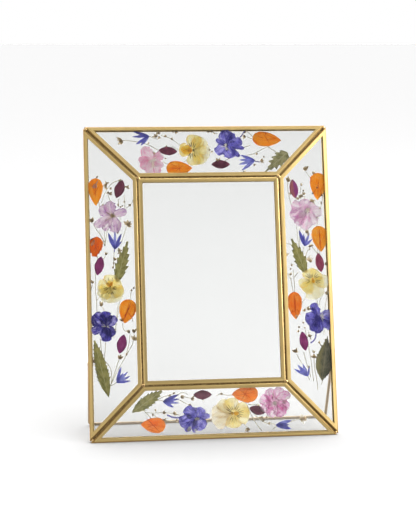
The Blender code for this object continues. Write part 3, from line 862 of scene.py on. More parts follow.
leaf_finish("green", "leaf_green", "green_leaf", (0.24, 0.22, 0.055), (0.46, 0.42, 0.13),
            (0.64, 0.6, 0.28))
leaf_finish("pale_green", "leaf_pale_green", "green_leaf", (0.24, 0.22, 0.09), (0.46, 0.43, 0.2),
            (0.66, 0.62, 0.4), 6.0)
leaf_finish("dark", "leaf_dark", "dark_leaf", (0.09, 0.09, 0.06), (0.2, 0.195, 0.13),
            (0.34, 0.3, 0.17), 12.0, (0.3, 0.26, 0.1), 0.35)
print("leaf finishes")

# %% [markdown]
# ## Laying the flowers between the sheets
#
# The sheets are less than a millimetre apart. Each petal of a flower lies a little above the last
# one, as they do when a flower is pressed open, and the whole flower gets a slight crumple. A film
# needs two sides to be a real solid, so Solidify finishes it.

# %% Lay petals and press them
SHEET_TOP = WALL + FACE_GAP + GLASS
LAYERS = (0.13, 0.38)
LAYER_DEPTH, SINGLE_LIFT, STROKE_LIFT = 0.2, 0.1, 0.04
CRUMPLE, FILM, HEAD_FILM = 0.1, 0.02, 0.03
PETAL_BLADES = {"blue_petal": "spike", "pink_petal": "oval", "lilac_petal": "oval",
                "purple_petal": "oval", "yellow_petal": "fan", "cream_petal": "fan"}
laid = {}  # where each specimen lies: x, up, layer and slot
crumple = bpy.data.textures.new("crumple", "CLOUDS")
crumple.noise_scale = 2.2


def lay(kind, start, angle, length, width, lift, depth=0.6):
    """A stretched copy of a blade, from a starting point on the bench."""
    source = chance.choice(masters[kind])
    piece = source.copy()
    piece.data = source.data.copy()
    bpy.context.scene.collection.objects.link(piece)
    piece.matrix_world = (Matrix.Translation((start[0], start[1], lift))
                          @ Matrix.Rotation(math.radians(angle), 4, "Z")
                          @ Matrix.Diagonal((length, width, 1, 1)))
    mark(piece, "depth", depth)
    mark(piece, "shift", chance.uniform(0, 40))
    return piece


def trim(piece, pane):
    """Cuts off what would reach past the glass, as scissors do before the brass goes on."""
    edge = SEAM / 2 + WALL + FACE_GAP
    slant = Vector((pane.length, pane.outer - pane.inner, 0)).normalized()
    sides = [(Vector((0, edge, 0)), Vector((0, -1, 0))),
             (Vector((0, pane.length - edge, 0)), Vector((0, 1, 0)))]
    for side in (1, -1):
        out = Vector((side * slant.x, slant.y, 0))
        sides.append((Vector((side * pane.outer, 0, 0)) - out * edge, out))
    for spot, out in sides:
        edit(piece, "FACE")
        bpy.ops.mesh.bisect(plane_co=spot, plane_no=out, clear_outer=True)
    clear()


def press(pieces, side, name, finish, slot=None, x=None, up=None, angle=0, thick=FILM):
    """Joins a specimen, trims and crumples it, and puts it between the sheets."""
    pane = panes[side]
    whole = join(pieces, f"{side}_{name}")
    bpy.ops.object.transform_apply()
    if x is not None:
        turn = Matrix.Rotation(math.radians(angle) + pane.turn, 4, "Z")
        stand_up(whole, Matrix.Translation(pane.spot(x, up, SHEET_TOP)) @ turn)
    trim(whole, pane)
    apply_modifier(whole, "DISPLACE", texture=crumple, texture_coords="LOCAL", direction="Z",
                   strength=CRUMPLE, mid_level=0.5)
    apply_modifier(whole, "SOLIDIFY", thickness=thick, offset=0)
    outward(whole)
    node_name = whole.name.removesuffix("_pressed")
    settle(whole, pane.matrix, finishes[finish], 60,
           node_name if node_name in frame["nodes"] else None)


def flower(side, node, x, up, finish, petals, layer=0):
    """A flower of petals, each (angle, length, width, depth of colour), the first one lowest."""
    slot = finishes[finish].slot
    pieces = [lay(PETAL_BLADES[slot], (0, 0), angle, length, width,
                  LAYERS[layer] + LAYER_DEPTH * k / len(petals), depth)
              for k, (angle, length, width, depth) in enumerate(petals)]
    press(pieces, side, f"{node}_pressed", finish, slot, x, up)
    laid[side, node] = x, up, layer, slot


def single(side, node, x, up, kind, finish, angle, length, width, depth=0.6, layer=0):
    """One loose petal or leaf, centred where it lies."""
    piece = lay(kind, (-length / 2, 0), 0, length, width, LAYERS[layer] + SINGLE_LIFT, depth)
    press([piece], side, f"{node}_pressed", finish, None, x, up, angle)
    laid[side, node] = x, up, layer, finishes[finish].slot


def strokes(side, node, what, finish, lines, at=None):
    """Fine lines on a specimen, each (angle, how far out it starts, length, width)."""
    x, up, layer, slot = laid[side, node]
    pieces = []
    for angle, out, length, width in lines:
        turn = math.radians(angle)
        pieces.append(lay("stroke", (out * math.cos(turn), out * math.sin(turn)), angle, length,
                          width, LAYERS[layer] + LAYER_DEPTH + STROKE_LIFT,
                          chance.uniform(0.2, 0.9)))
    press(pieces, side, f"{node}_{what}", finish, slot, *(at or (x, up)))


def tuft(count, length, width, out=0.0, start=0, end=360):
    """Lines that fan out evenly from a heart, a little unruly."""
    return [(start + (end - start) * (k + chance.uniform(0.2, 0.8)) / count, out,
             length * chance.uniform(0.6, 1.1), width) for k in range(count)]


print("ready to press")

# %% The top border
flower("top", "blue_floret", -43, 226.9, "blue", [
    (163, 12.5, 2.4, 0.8), (182, 13, 2.1, 0.6), (213, 12.5, 2.5, 0.8), (229, 10.5, 2.0, 0.5)])
flower("top", "second_blue_floret", 36.3, 206.9, "blue", [
    (159, 12, 2.5, 0.5), (178, 12.3, 2.2, 0.3), (195, 13.2, 2.5, 0.1), (217, 13.6, 2.5, 0.4)])
flower("top", "pink_larkspur", -41.5, 207.9, "pink", [
    (45, 11.6, 4, 0.3), (123, 12.5, 8.5, 0.4), (179, 10.5, 6.5, 0.9), (215, 11, 7.5, 0.6),
    (253, 11.4, 8, 0.2), (292, 12, 6.5, 0.4), (325, 9.5, 5.5, 0.3), (18, 9, 5, 0.4),
    (250, 6, 4, 0.0)])
strokes("top", "pink_larkspur", "stamens", "stamen",
        tuft(8, 4.2, 0.8, 0, 190, 420) + [(268, 1, 8, 1.2), (281, 1, 7, 0.9)])
single("top", "maroon_petal_left", -29.5, 214.9, "lens", "maroon", -5, 14.2, 6.9)
flower("top", "yellow_pansy_far_petals", -10.5, 214.9, "greenish", [
    (45, 13.4, 10, 0.4), (-6, 13, 11.5, 0.1), (-48, 13, 9, 0.3)])
flower("top", "yellow_pansy", -10.5, 214.9, "yellow", [
    (60, 12, 9, 0.1), (-62, 12, 8, 0.1), (83, 13, 11.5, 0.35), (-90, 12, 10, 0.35),
    (0, 10.5, 7, 0.0), (174, 10.5, 10.5, 0.9)], layer=1)
strokes("top", "yellow_pansy", "glow", "gold", [
    (174, 0, 8.6, 8), (160, 0, 4, 2.6), (190, 0, 4, 2.6)], at=(-11.2, 215))
strokes("top", "yellow_pansy", "rays", "ray", [
    (62, 1.5, 5, 0.5), (78, 2.5, 4.5, 0.5), (95, 2.8, 4.5, 0.5), (110, 3, 3.8, 0.6),
    (235, 2, 4, 0.6), (252, 2.5, 4.5, 0.6), (270, 1.5, 4.5, 0.5), (292, 2, 4, 0.5),
    (168, 2.5, 4.5, 0.35), (180, 2.5, 4.8, 0.35), (193, 2.5, 4, 0.35),
    (20, 0, 1.6, 1.6)], at=(-11, 214.9))
single("top", "orange_petal_left", -21.5, 201.1, "drop", "orange", 0, 19.5, 11.9)
flower("top", "purple_larkspur", 15.9, 218.7, "purple", [
    (96, 13.2, 10, 0.5), (63, 11.5, 6, 0.7), (21, 12, 8.5, 0.4), (-10, 13, 3.8, 0.6),
    (-46, 12.5, 4.5, 0.6), (-76, 10.5, 10, 0.4), (-149, 11, 8.5, 0.25), (149, 10, 4.6, 0.6)])
strokes("top", "purple_larkspur", "stamens", "stamen", [
    (95, 0, 3.2, 0.7), (70, 0, 2.8, 0.6), (120, 0, 2.6, 0.6), (175, 0, 4.4, 0.8),
    (262, 0, 3.4, 0.8), (285, 0, 4, 0.7), (310, 0, 5, 0.6)], at=(14.7, 217.8))
single("top", "maroon_petal_right", 9.9, 203.9, "lens", "maroon", 0, 14.2, 6.9)
single("top", "orange_petal_right", 46.4, 223.6, "drop", "orange", -5, 21.9, 12.3)
single("top", "green_leaf", 52.6, 205.3, "jag", "pale_green", 221, 24, 7.4)
print("top border laid")

# %% The left border
single("left", "orange_petal_upper", -84.2, 184.8, "tulip", "orange", -89, 20.9, 11.2)
single("left", "maroon_petal_upper", -66.5, 186.3, "lens", "maroon", 69, 14.2, 7.6)
flower("left", "lilac_larkspur", -73, 166.6, "lilac", [
    (141, 11, 8.5, 0.5), (98, 11, 8.5, 0.45), (14, 12, 6.5, 0.5), (-72, 13.5, 9, 0.6),
    (-118, 12.5, 6.5, 0.0), (-149, 15, 7, 0.3)])
strokes("left", "lilac_larkspur", "stamens", "olive",
        tuft(9, 2.6, 0.8) + [(150, 1, 6, 0.5), (215, 2, 5, 0.5)], at=(-72, 166.4))
flower("left", "blue_floret", -71, 141.2, "blue", [
    (48, 8, 1.7, 0.6), (66, 13, 2.4, 0.8), (88, 14, 2.0, 0.2), (110, 13.5, 2.9, 0.9)], layer=1)
flower("left", "second_blue_floret", -72.2, 42.6, "blue", [
    (72, 12.4, 2.2, 0.5), (54, 9, 1.7, 0.2), (42, 12, 2.0, 0.3), (24, 11.4, 2.0, 0.1),
    (6, 11, 1.8, 0.5)])
single("left", "orange_petal_middle", -85, 143.9, "torn", "red_orange", -99, 15, 10)
single("left", "maroon_petal_middle", -82.7, 129.4, "lens", "magenta", 77, 14.4, 7)
single("left", "serrated_leaf", -65.7, 131.7, "leaf", "green", 74, 31, 7.6)
flower("left", "yellow_pansy_far_petals", -75, 113.3, "greenish", [
    (221, 11, 9, 0.4), (252, 12, 9, 0.1), (275, 12, 8, 0.0), (300, 12.4, 9, 0.0),
    (322, 11.4, 8, 0.2)])
flower("left", "yellow_pansy", -75, 113.3, "yellow", [
    (235, 9.6, 8, 0.2), (330, 10.5, 9, 0.5), (164, 9.5, 8.5, 0.3), (195, 8.6, 7, 0.3),
    (87, 9.2, 10.5, 0.5), (18, 9, 8, 0.5)], layer=1)
strokes("left", "yellow_pansy", "glow", "gold", [
    (95, 0, 4.5, 4.2), (60, 0, 4, 2.4), (130, 0, 4, 2.4)], at=(-75.2, 113.8))
strokes("left", "yellow_pansy", "rays", "ray", [
    (180, 1.4, 4, 0.5), (196, 1.6, 3.6, 0.45), (165, 2, 3.4, 0.4), (0, 1.4, 4, 0.5),
    (-16, 1.6, 3.4, 0.45), (16, 2, 3.2, 0.4), (255, 3, 1.8, 0.7), (278, 3, 2, 0.8),
    (232, 2.6, 2.2, 0.4), (300, 2.6, 2.4, 0.4), (90, 0.6, 1.6, 0.8), (75, 5.6, 2.6, 0.35),
    (100, 5.6, 2.8, 0.35), (120, 4.8, 2.4, 0.35)], at=(-75, 112.4))
single("left", "orange_petal_lower", -63, 94.8, "drop", "orange", -104, 18, 13)
flower("left", "purple_larkspur", -79.2, 84.5, "violet_blue", [
    (39, 10.5, 8, 0.1), (200, 11, 7.5, 0.35), (87, 11, 9, 0.6), (60, 9, 6, 0.4),
    (136, 12.5, 12, 0.6), (308, 9.5, 8.5, 0.8), (273, 11.5, 9, 0.75)])
strokes("left", "purple_larkspur", "stamens", "stamen", [
    (170, 0.5, 3.6, 0.8), (20, 0, 2, 0.9), (-20, 0.4, 2.2, 0.9), (140, 1, 3, 0.6)], at=(-78.4, 84))
single("left", "maroon_petal_lower", -67.6, 70.9, "lens", "magenta", 75, 14.5, 7.3)
single("left", "long_leaf", -82.8, 53.2, "long", "green", 103, 43, 8)
print("left border laid")

# %% The right border
single("right", "maroon_petal_upper", 65, 184.8, "lens", "brick", -82, 14.7, 7)
single("right", "orange_petal_upper", 84.6, 186.9, "tulip", "orange", -95, 21.2, 13.8)
flower("right", "pink_larkspur", 74.3, 166.8, "pale_pink", [
    (150, 13.4, 10, 0.4), (190, 13.8, 10, 0.6), (100, 10.5, 10, 0.4), (48, 10, 8, 0.3),
    (5, 12.8, 9, 0.1), (315, 11.5, 8, 0.2), (262, 13.4, 10, 0.4), (226, 13, 8, 0.6),
    (60, 6, 5, 0.2), (200, 7, 5, 0.0)])
strokes("right", "pink_larkspur", "stamens", "stamen", tuft(8, 2.8, 0.9), at=(75.3, 168.4))
flower("right", "blue_floret", 71.8, 141, "blue", [
    (40, 9, 1.8, 0.5), (66, 11, 2.0, 0.2), (92, 10, 1.8, 0.6), (108, 13, 2.9, 0.9)])
flower("right", "second_blue_floret", 70.6, 43.2, "blue", [
    (79, 8, 1.5, 0.7), (113, 10.4, 2.2, 0.2), (133, 12.2, 2.7, 0.3), (153, 12.5, 2.2, 0.4)])
single("right", "orange_petal_middle", 84.3, 146.8, "drop", "orange", -85, 19.8, 13, depth=0.3)
single("right", "serrated_leaf", 67, 133.6, "leaf", "green", 112, 28, 7.8)
single("right", "maroon_petal_middle", 83.4, 128.7, "lens", "rose", -82, 14.8, 6.9)
flower("right", "yellow_pansy_far_petals", 76.7, 115.1, "greenish", [
    (-5, 13.4, 10.5, 0.3), (271, 14.5, 12, 0.1), (298, 14, 10, 0.0)])
flower("right", "yellow_pansy", 76.7, 115.1, "yellow", [
    (-12, 10, 8, 0.1), (240, 11, 9, 0.1), (222, 11, 8, 0.2), (195, 11.5, 7, 0.3),
    (113, 9, 11.5, 0.5), (52, 9, 10.5, 0.45)], layer=1)
strokes("right", "yellow_pansy", "glow", "amber", [
    (285, 0, 2.8, 2.4), (90, 0, 1.4, 1.6)], at=(77.2, 115.6))
strokes("right", "yellow_pansy", "rays", "ray", [
    (100, 1.4, 3, 0.4), (118, 1.6, 4.6, 0.5), (134, 1.6, 5.4, 0.5), (150, 1.6, 5.4, 0.5),
    (84, 2, 3, 0.4), (58, 2, 4.6, 0.45), (42, 2, 5, 0.45), (26, 2.2, 4.4, 0.4),
    (190, 1.8, 4.4, 0.5), (208, 1.8, 4.6, 0.5), (174, 1.8, 4, 0.4), (-4, 2.4, 4.8, 0.45),
    (-18, 2.4, 4.6, 0.45), (-32, 2.4, 3.4, 0.4)], at=(76.9, 115.5))
single("right", "orange_petal_lower", 62.4, 96.2, "drop", "deep_orange", -88, 20.5, 11.9)
flower("right", "purple_larkspur", 80.8, 86, "purple", [
    (17, 12.5, 9.5, -0.1), (109, 12.8, 7.5, 0.6), (-4, 12.5, 6, 0.3), (326, 13.5, 6, 0.7),
    (176, 11, 10.5, 0.8), (233, 11, 7, 0.9), (262, 11, 8.5, 0.8), (116, 9, 3, 1.2)])
strokes("right", "purple_larkspur", "stamens", "stamen", [
    (60, 0.5, 3.4, 1.4), (20, 0.5, 3, 1.2), (-20, 0.5, 3.4, 1.2), (100, 0, 2.4, 0.8),
    (-60, 0.5, 4, 0.8)], at=(82.4, 87.4))
single("right", "maroon_petal_lower", 68.3, 69.5, "lens", "magenta", -81, 14.7, 6.9)
single("right", "broad_leaf", 84.4, 56.2, "broad", "dark", 80, 34, 13)
print("right border laid")

# %% The bottom border
single("bottom", "green_leaf", -50.4, 28.2, "tooth", "green", 35, 26.9, 7.4)
flower("bottom", "blue_floret", -38.7, 28.1, "blue", [
    (-31, 9.5, 2.4, 0.6), (-8, 12.4, 2.0, 0.6), (7, 12.4, 2.0, 0.8), (22, 13, 2.5, 0.9)])
flower("bottom", "second_blue_floret", 45.3, 7.9, "blue", [
    (15, 12.6, 2.9, 0.5), (0, 10.4, 2.5, 0.8), (-15, 12.2, 3.2, 0.6)])
single("bottom", "maroon_petal_left", -9.3, 32, "lens", "maroon", 0, 13.7, 6.9)
single("bottom", "orange_petal_left", -46, 10.9, "drop", "deep_orange", 175, 18.3, 11.8)
flower("bottom", "purple_larkspur", -14.4, 15.2, "purple", [
    (132, 11, 9.5, 0.5), (53, 9, 8.5, 0.35), (8, 10.5, 5, 0.3), (194, 12.8, 10.5, 0.6),
    (232, 12.5, 6, 0.6), (263, 11, 4, 0.7), (304, 10.4, 10, 0.4)])
strokes("bottom", "purple_larkspur", "stamens", "stamen",
        tuft(6, 2.2, 0.8) + [(232, 7, 4.6, 2.2), (262, 7.4, 2.4, 2), (75, 2, 3, 0.7)],
        at=(-13.6, 14.6))
flower("bottom", "cream_pansy_far_petals", 13.2, 17.4, "beige", [
    (150, 14, 7, 0.3), (170, 16, 9.5, 0.5), (196, 16.4, 9.5, 0.1), (217, 15.6, 8.5, 0.5)])
flower("bottom", "cream_pansy", 13.8, 17.6, "cream", [
    (141, 14.5, 9, 0.0), (118, 12, 8, 0.1), (99, 12, 10.5, 0.3), (262, 11, 10.5, 0.6),
    (280, 11, 9, 0.4), (20, 11.5, 12, 0.6), (-12, 12, 13, 0.5)], layer=1)
strokes("bottom", "cream_pansy", "heart", "gold", [
    (0, 0, 4.2, 3.0), (180, 0, 2, 2.2)], at=(13.6, 17.7))
strokes("bottom", "cream_pansy", "rays", "ray", [
    (angle, 2.2, length, 0.4) for angle, length in (
        (150, 5), (136, 6), (122, 6), (107, 4), (88, 5), (72, 5.4), (56, 4.6), (34, 4), (16, 5.6),
        (4, 5.4), (-9, 5), (-26, 4.4), (-40, 4), (-74, 4.6), (-90, 5.2), (-104, 5), (-120, 4.2),
        (180, 1.6))], at=(14, 17.6))
single("bottom", "orange_petal_right", 22.3, 31.7, "drop", "deep_orange", 180, 19.5, 12.9, layer=1)
flower("bottom", "pink_larkspur", 44.8, 24.2, "hot_pink", [
    (160, 12, 9, 0.4), (118, 12, 9, 0.5), (72, 12.5, 9, 0.4), (35, 13.4, 8, 0.3),
    (345, 11.4, 8.5, 0.6), (305, 11.8, 9.5, 0.7), (250, 11, 9, 0.3), (205, 11.4, 8, 0.3)], layer=1)
strokes("bottom", "pink_larkspur", "stamens", "stamen",
        tuft(7, 2.6, 0.8) + [(100, 3, 6, 0.7), (20, 8, 5, 1)], at=(44.6, 24.2))
single("bottom", "maroon_petal_right", 31.5, 19.4, "lens", "maroon", -19, 12.5, 7)
print("bottom border laid")

# %% Creases and spots of the orange petals
for side, which, lines in (
    ("top", "left", [(0, -7, 9, 0.5), (40, -4, 8, 0.4), (100, -4, 8, 0.4), (150, 1, 7, 0.4)]),
    ("top", "right", [(118, -4, 9, 0.5), (100, 1, 5, 0.4), (182, -8, 9, 0.4), (160, 2, 6, 0.5)]),
    ("left", "upper", [(-88, -9, 14, 0.4), (-60, -8, 9, 0.4), (-120, -6, 8, 0.4)]),
    ("left", "middle", [(85, -6, 12, 0.5), (60, -5, 9, 0.4), (110, -4, 9, 0.5)]),
    ("left", "lower", [(66, -9, 17, 0.7), (55, -5, 11, 0.4), (-55, 0, 7, 0.5)]),
    ("right", "upper", [(-95, -4, 12, 0.5), (-60, -2, 8, 0.4), (-130, 0, 8, 0.4), (80, 0, 8, 0.4)]),
    ("right", "middle", [(91, -8, 16, 0.9), (80, -9, 13, 0.4)]),
    ("right", "lower", [
        (-86, -9, 17, 1.0), (-96, -6, 11, 0.5), (-60, 3, 6, 0.6), (-120, 3, 5, 0.5)]),
    ("bottom", "left", [(-48, -8, 15, 0.7), (20, -6, 10, 0.4), (-10, -5, 11, 0.4)]),
    ("bottom", "right", [
        (60, -6, 10, 0.5), (-40, -6, 12, 0.5), (10, -8, 14, 0.4), (120, -5, 9, 0.4)])):
    strokes(side, f"orange_petal_{which}", "creases", "crease", lines)
strokes("left", "orange_petal_upper", "spot", "grey", [
    (200, -1.8, 3.8, 3.2), (60, 0, 5.6, 0.9)], at=(-84.6, 189.2))
strokes("left", "orange_petal_middle", "spot", "seed", [(62, -2.6, 5.6, 2.2)], at=(-87, 146.6))
strokes("right", "orange_petal_upper", "spots", "ray", [
    (40, -0.6, 1.4, 1.2), (-130, 5, 1.8, 1.0)], at=(83.6, 186))
strokes("right", "orange_petal_lower", "tip", "seed", [(90, 0, 2.6, 2.2)], at=(63.2, 86.9))
print("creases laid")

# %% [markdown]
# ## Sprigs of seed heads
#
# Thin stems with brown seed heads weave through the flowers. They are too fine to measure on the
# frame, so they are drawn over the photograph: each stem is a row of points in its pixels, and a
# line of sight from the camera carries them to the pane. A stem is a curve with a round section,
# pressed flat. A seed head is a fan of small blades.

# %% Draw stems and seed heads over the photograph
STEM, STEM_FLAT, STEM_DROP = 0.23, 0.3, 0.09
HEAD_SPREAD = 34  # degrees between the blades of a seed head
HEAD_LIFT, HEART_LIFT = 0.1, 0.22


def seen(pane, x, y):
    """The bench coordinates of the point on a pane that the camera sees at pixel x, y."""
    ray = camera.matrix_world.to_3x3() @ Vector(
        ((x - PHOTO_WIDTH / 2) / FOCUS, (PHOTO_HEIGHT / 2 - y) / FOCUS, -1))
    to_bench = pane.matrix.inverted()
    eye = to_bench @ camera.location
    ahead = to_bench.to_3x3() @ ray
    return eye + ahead * ((SHEET_TOP - eye.z) / ahead.z)


def stem(pane, points, thick):
    clear()
    bpy.ops.curve.primitive_bezier_curve_add()
    line = name_it("stem")
    curve = line.data
    curve.splines[0].bezier_points.add(len(points) - 2)
    for knot, (x, y) in zip(curve.splines[0].bezier_points, points):
        knot.co = seen(pane, x, y)
        knot.handle_left_type = knot.handle_right_type = "AUTO"
    curve.bevel_depth, curve.bevel_resolution, curve.resolution_u = thick, 1, 4
    curve.use_fill_caps = True
    bpy.ops.object.convert(target="MESH")
    line = bpy.context.object
    edit(line, "VERT")
    bpy.ops.transform.resize(value=(1, 1, STEM_FLAT), center_override=(0, 0, SHEET_TOP - STEM_DROP))
    clear()
    own_map(line)
    mark(line, "depth", chance.uniform(0.0, 0.7))
    mark(line, "shift", chance.uniform(0, 40))
    return line


def seed_head(pane, x, y, size, angle=90, blades=3):
    """Blades that fan out from below the middle of the head; the angle is where they point."""
    spot = seen(pane, x, y)
    turn = math.degrees(pane.turn) + angle
    ahead = Vector((math.cos(math.radians(turn)), math.sin(math.radians(turn))))
    foot = spot.xy - ahead * size * 0.5
    pieces = []
    for k in range(blades):
        fan = (k - (blades - 1) / 2) * HEAD_SPREAD + chance.uniform(-8, 8)
        pieces.append(lay("stroke", foot, turn + fan, size * chance.uniform(0.8, 1.15), size * 0.42,
                          SHEET_TOP + HEAD_LIFT + 0.03 * k, chance.uniform(-0.1, 0.9)))
    # A short wide blade on top makes the dark heart of the head
    pieces.append(lay("stroke", foot, turn, size * 0.6, size * 0.5, SHEET_TOP + HEART_LIFT,
                      chance.uniform(0.7, 1.2)))
    return pieces


def draw_stems(side, name, finish, lines):
    """Stems, each (thickness, row of pixels), joined and put between the sheets."""
    whole = join([stem(panes[side], points, thick) for thick, points in lines], f"{side}_{name}")
    outward(whole)
    settle(whole, panes[side].matrix, finishes[finish], 180)


def sprigs(side, stems, heads, pale_heads=()):
    """All stems (rows of pixels) and heads (x, y, size, angle, blades) of a border."""
    draw_stems(side, "sprig_stems", "stem", [(STEM, points) for points in stems])
    for name, finish, group in (("seed_heads", "seed", heads),
                                ("pale_seed_heads", "pale_seed", pale_heads)):
        if group:
            blades = [piece for head in group for piece in seed_head(panes[side], *head)]
            press(blades, side, name, finish, thick=HEAD_FILM)
    print(side, len(stems), "stems and", len(heads), "seed heads")

# %% Sprigs of the top border
sprigs("top", [
    [(122, 140.5), (137, 142), (148, 145), (158, 150.2)], [(161, 135.5), (170, 138.5), (181, 146)],
    [(171, 146), (180, 151)], [(218, 134.5), (213, 132.5)],
    [(234, 149.5), (241, 148.3), (250, 145.5)],
    [(246, 155.5), (252, 154.5), (262, 149.5), (270, 146)],
    [(267, 146.5), (275, 151.5), (281, 154)], [(246, 131), (249, 133.5), (253, 137)],
    [(247, 137), (253, 139.5)], [(225, 161), (230, 158)], [(149, 136.5), (153, 138), (158, 139.5)],
    [(252, 160.8), (257, 161.5), (262, 162.5)], [(279, 141.5), (281.5, 140.2)],
    [(163, 162), (168, 164.5)], [(184, 162), (187, 160)], [(154, 152), (154.5, 157), (156, 162)]], [
    (119.5, 141.5, 4.4, 205, 4), (148.3, 143.6, 1.8, 60, 2), (155.5, 136, 3.2, 130),
    (158.3, 133, 2.6, 80), (159, 138, 2.4, 280, 2), (158.5, 130.3, 1.8, 90, 2),
    (165, 136.3, 2.2, 150), (171.6, 139, 2.4, 110, 2), (173, 132, 2.2, 200, 2),
    (176.4, 132.4, 2.6, 330), (166, 146.4, 1.8, 120, 2), (165.6, 158.6, 1.6, 30, 2),
    (208, 131.6, 2.4, 180, 2), (211.5, 131, 2.8, 120), (214, 133.6, 1.6, 150, 2),
    (209, 150.2, 2.4, 170, 2), (211.5, 152, 2, 220, 2), (243.7, 137, 3, 200),
    (245, 132.6, 2.4, 30, 2), (256.4, 154, 2, 190, 2), (217.5, 160, 3, 100), (254.4, 165, 2, 60, 2),
    (262, 161, 2.8, 20), (263.5, 157, 1.8, 150, 2), (244, 172, 2.6, 80, 2), (171, 162.5, 1.6, 0, 2),
    (154.2, 153.5, 2.4, 90, 2)])

# %% Sprigs of the left border
sprigs("left", [
    [(97.3, 176.3), (95.8, 179)],
    [(120, 180.8), (115.5, 181.5), (111, 184.5), (107, 189.5), (104, 195.5), (101.7, 203)],
    [(108, 194), (109.5, 199), (112.5, 204)], [(124, 196), (124.8, 202), (125, 209)],
    [(118.5, 199), (118.8, 207)], [(126, 208.5), (129.5, 205.5), (134, 200.5)],
    [(126.7, 226), (125.2, 231), (123, 238), (120.8, 244)],
    [(93, 223), (95.5, 228), (99, 233), (102.5, 238), (104.7, 246)],
    [(104.5, 231), (105, 238), (104.9, 246.5)], [(107.5, 230), (106, 239), (105.2, 246)],
    [(99.5, 231), (101, 236), (104.5, 242)], [(98.6, 201.5), (99.8, 207)],
    [(120.2, 218), (119.7, 225), (118.5, 232)],
    [(114.2, 250), (114, 257), (113.7, 263), (113, 269)], [(105.6, 256), (103.5, 259), (100, 264)],
    [(97.5, 256), (97.3, 262), (96, 268), (95.5, 277), (95.6, 290), (96.6, 301), (97.2, 312)],
    [(96.6, 300.5), (101, 296), (105.5, 291)], [(92.4, 285), (91, 290.5)],
    [(97.6, 289.5), (99.4, 292)], [(131.5, 291), (130.5, 296), (130, 301)],
    [(122.7, 323), (123.7, 329), (126.3, 332)], [(102.5, 307), (104.8, 311.5)],
    [(119.7, 301), (118.6, 312), (116, 325), (115.8, 330), (113.5, 338)],
    [(118, 304), (117, 316), (115.8, 329)], [(112, 326.5), (115.5, 330)],
    [(132, 318.5), (133.2, 321.8)],
    [(134.2, 332), (133.8, 337), (132.5, 344), (130, 349), (126.5, 355), (121, 365), (116, 374),
     (111.5, 384)],
    [(130, 334), (129.5, 341), (128, 348), (126.8, 354)],
    [(119, 360), (117, 366), (114.5, 374), (111.5, 383)],
    [(100.5, 338), (101, 346), (102.5, 355), (105, 361), (108.5, 365), (111, 370), (111.8, 378),
     (111, 386)],
    [(105.5, 342), (105.3, 350), (104.5, 359)], [(116.8, 382), (114, 384.5), (111.2, 385.8)]], [
    (97.2, 177, 2, 60, 2), (105, 185.6, 3.2, 200), (107, 183, 2.6, 70), (106.4, 188.6, 1.6, 250, 2),
    (111, 188.4, 2, 30), (108.2, 192.6, 2.4, 160, 2), (111, 194, 2.6, 0), (120, 180.7, 2.8, 10, 2),
    (125.6, 187, 2.2, 180, 2), (128, 187.2, 2.6, 10), (124.3, 202, 1.6, 180, 2),
    (122.4, 206, 1.5, 60, 2), (120.6, 206.8, 1.7, 100, 2), (118, 205, 1.7, 150, 2),
    (130, 205, 2.4, 350, 2), (133.6, 200.6, 2.2, 80, 2), (128.8, 223.4, 4, 50, 5),
    (91.6, 220, 4.4, 105, 2), (103, 205, 1.8, 90, 2), (115, 259, 2.6, 70),
    (113.8, 263, 1.8, 120, 2), (113, 267.4, 2, 100, 2), (119.8, 250, 3.4, 60),
    (119, 253.4, 2, 250, 2), (118, 232.6, 2, 90, 2), (106.4, 253.4, 2.8, 80, 2),
    (93, 282, 2.8, 75, 2), (131.4, 290, 2, 120, 2), (134, 288, 2, 40, 2),
    (101.3, 303.8, 4.2, 95, 2), (122, 319.5, 3, 100), (128.7, 331.4, 3.2, 115, 2),
    (134.2, 330.4, 3.8, 85, 2), (134.8, 338, 3.6, 60, 4), (137.2, 338.4, 1.6, 10, 1),
    (126.6, 354.4, 2, 120, 2), (120, 357, 3.6, 75)])

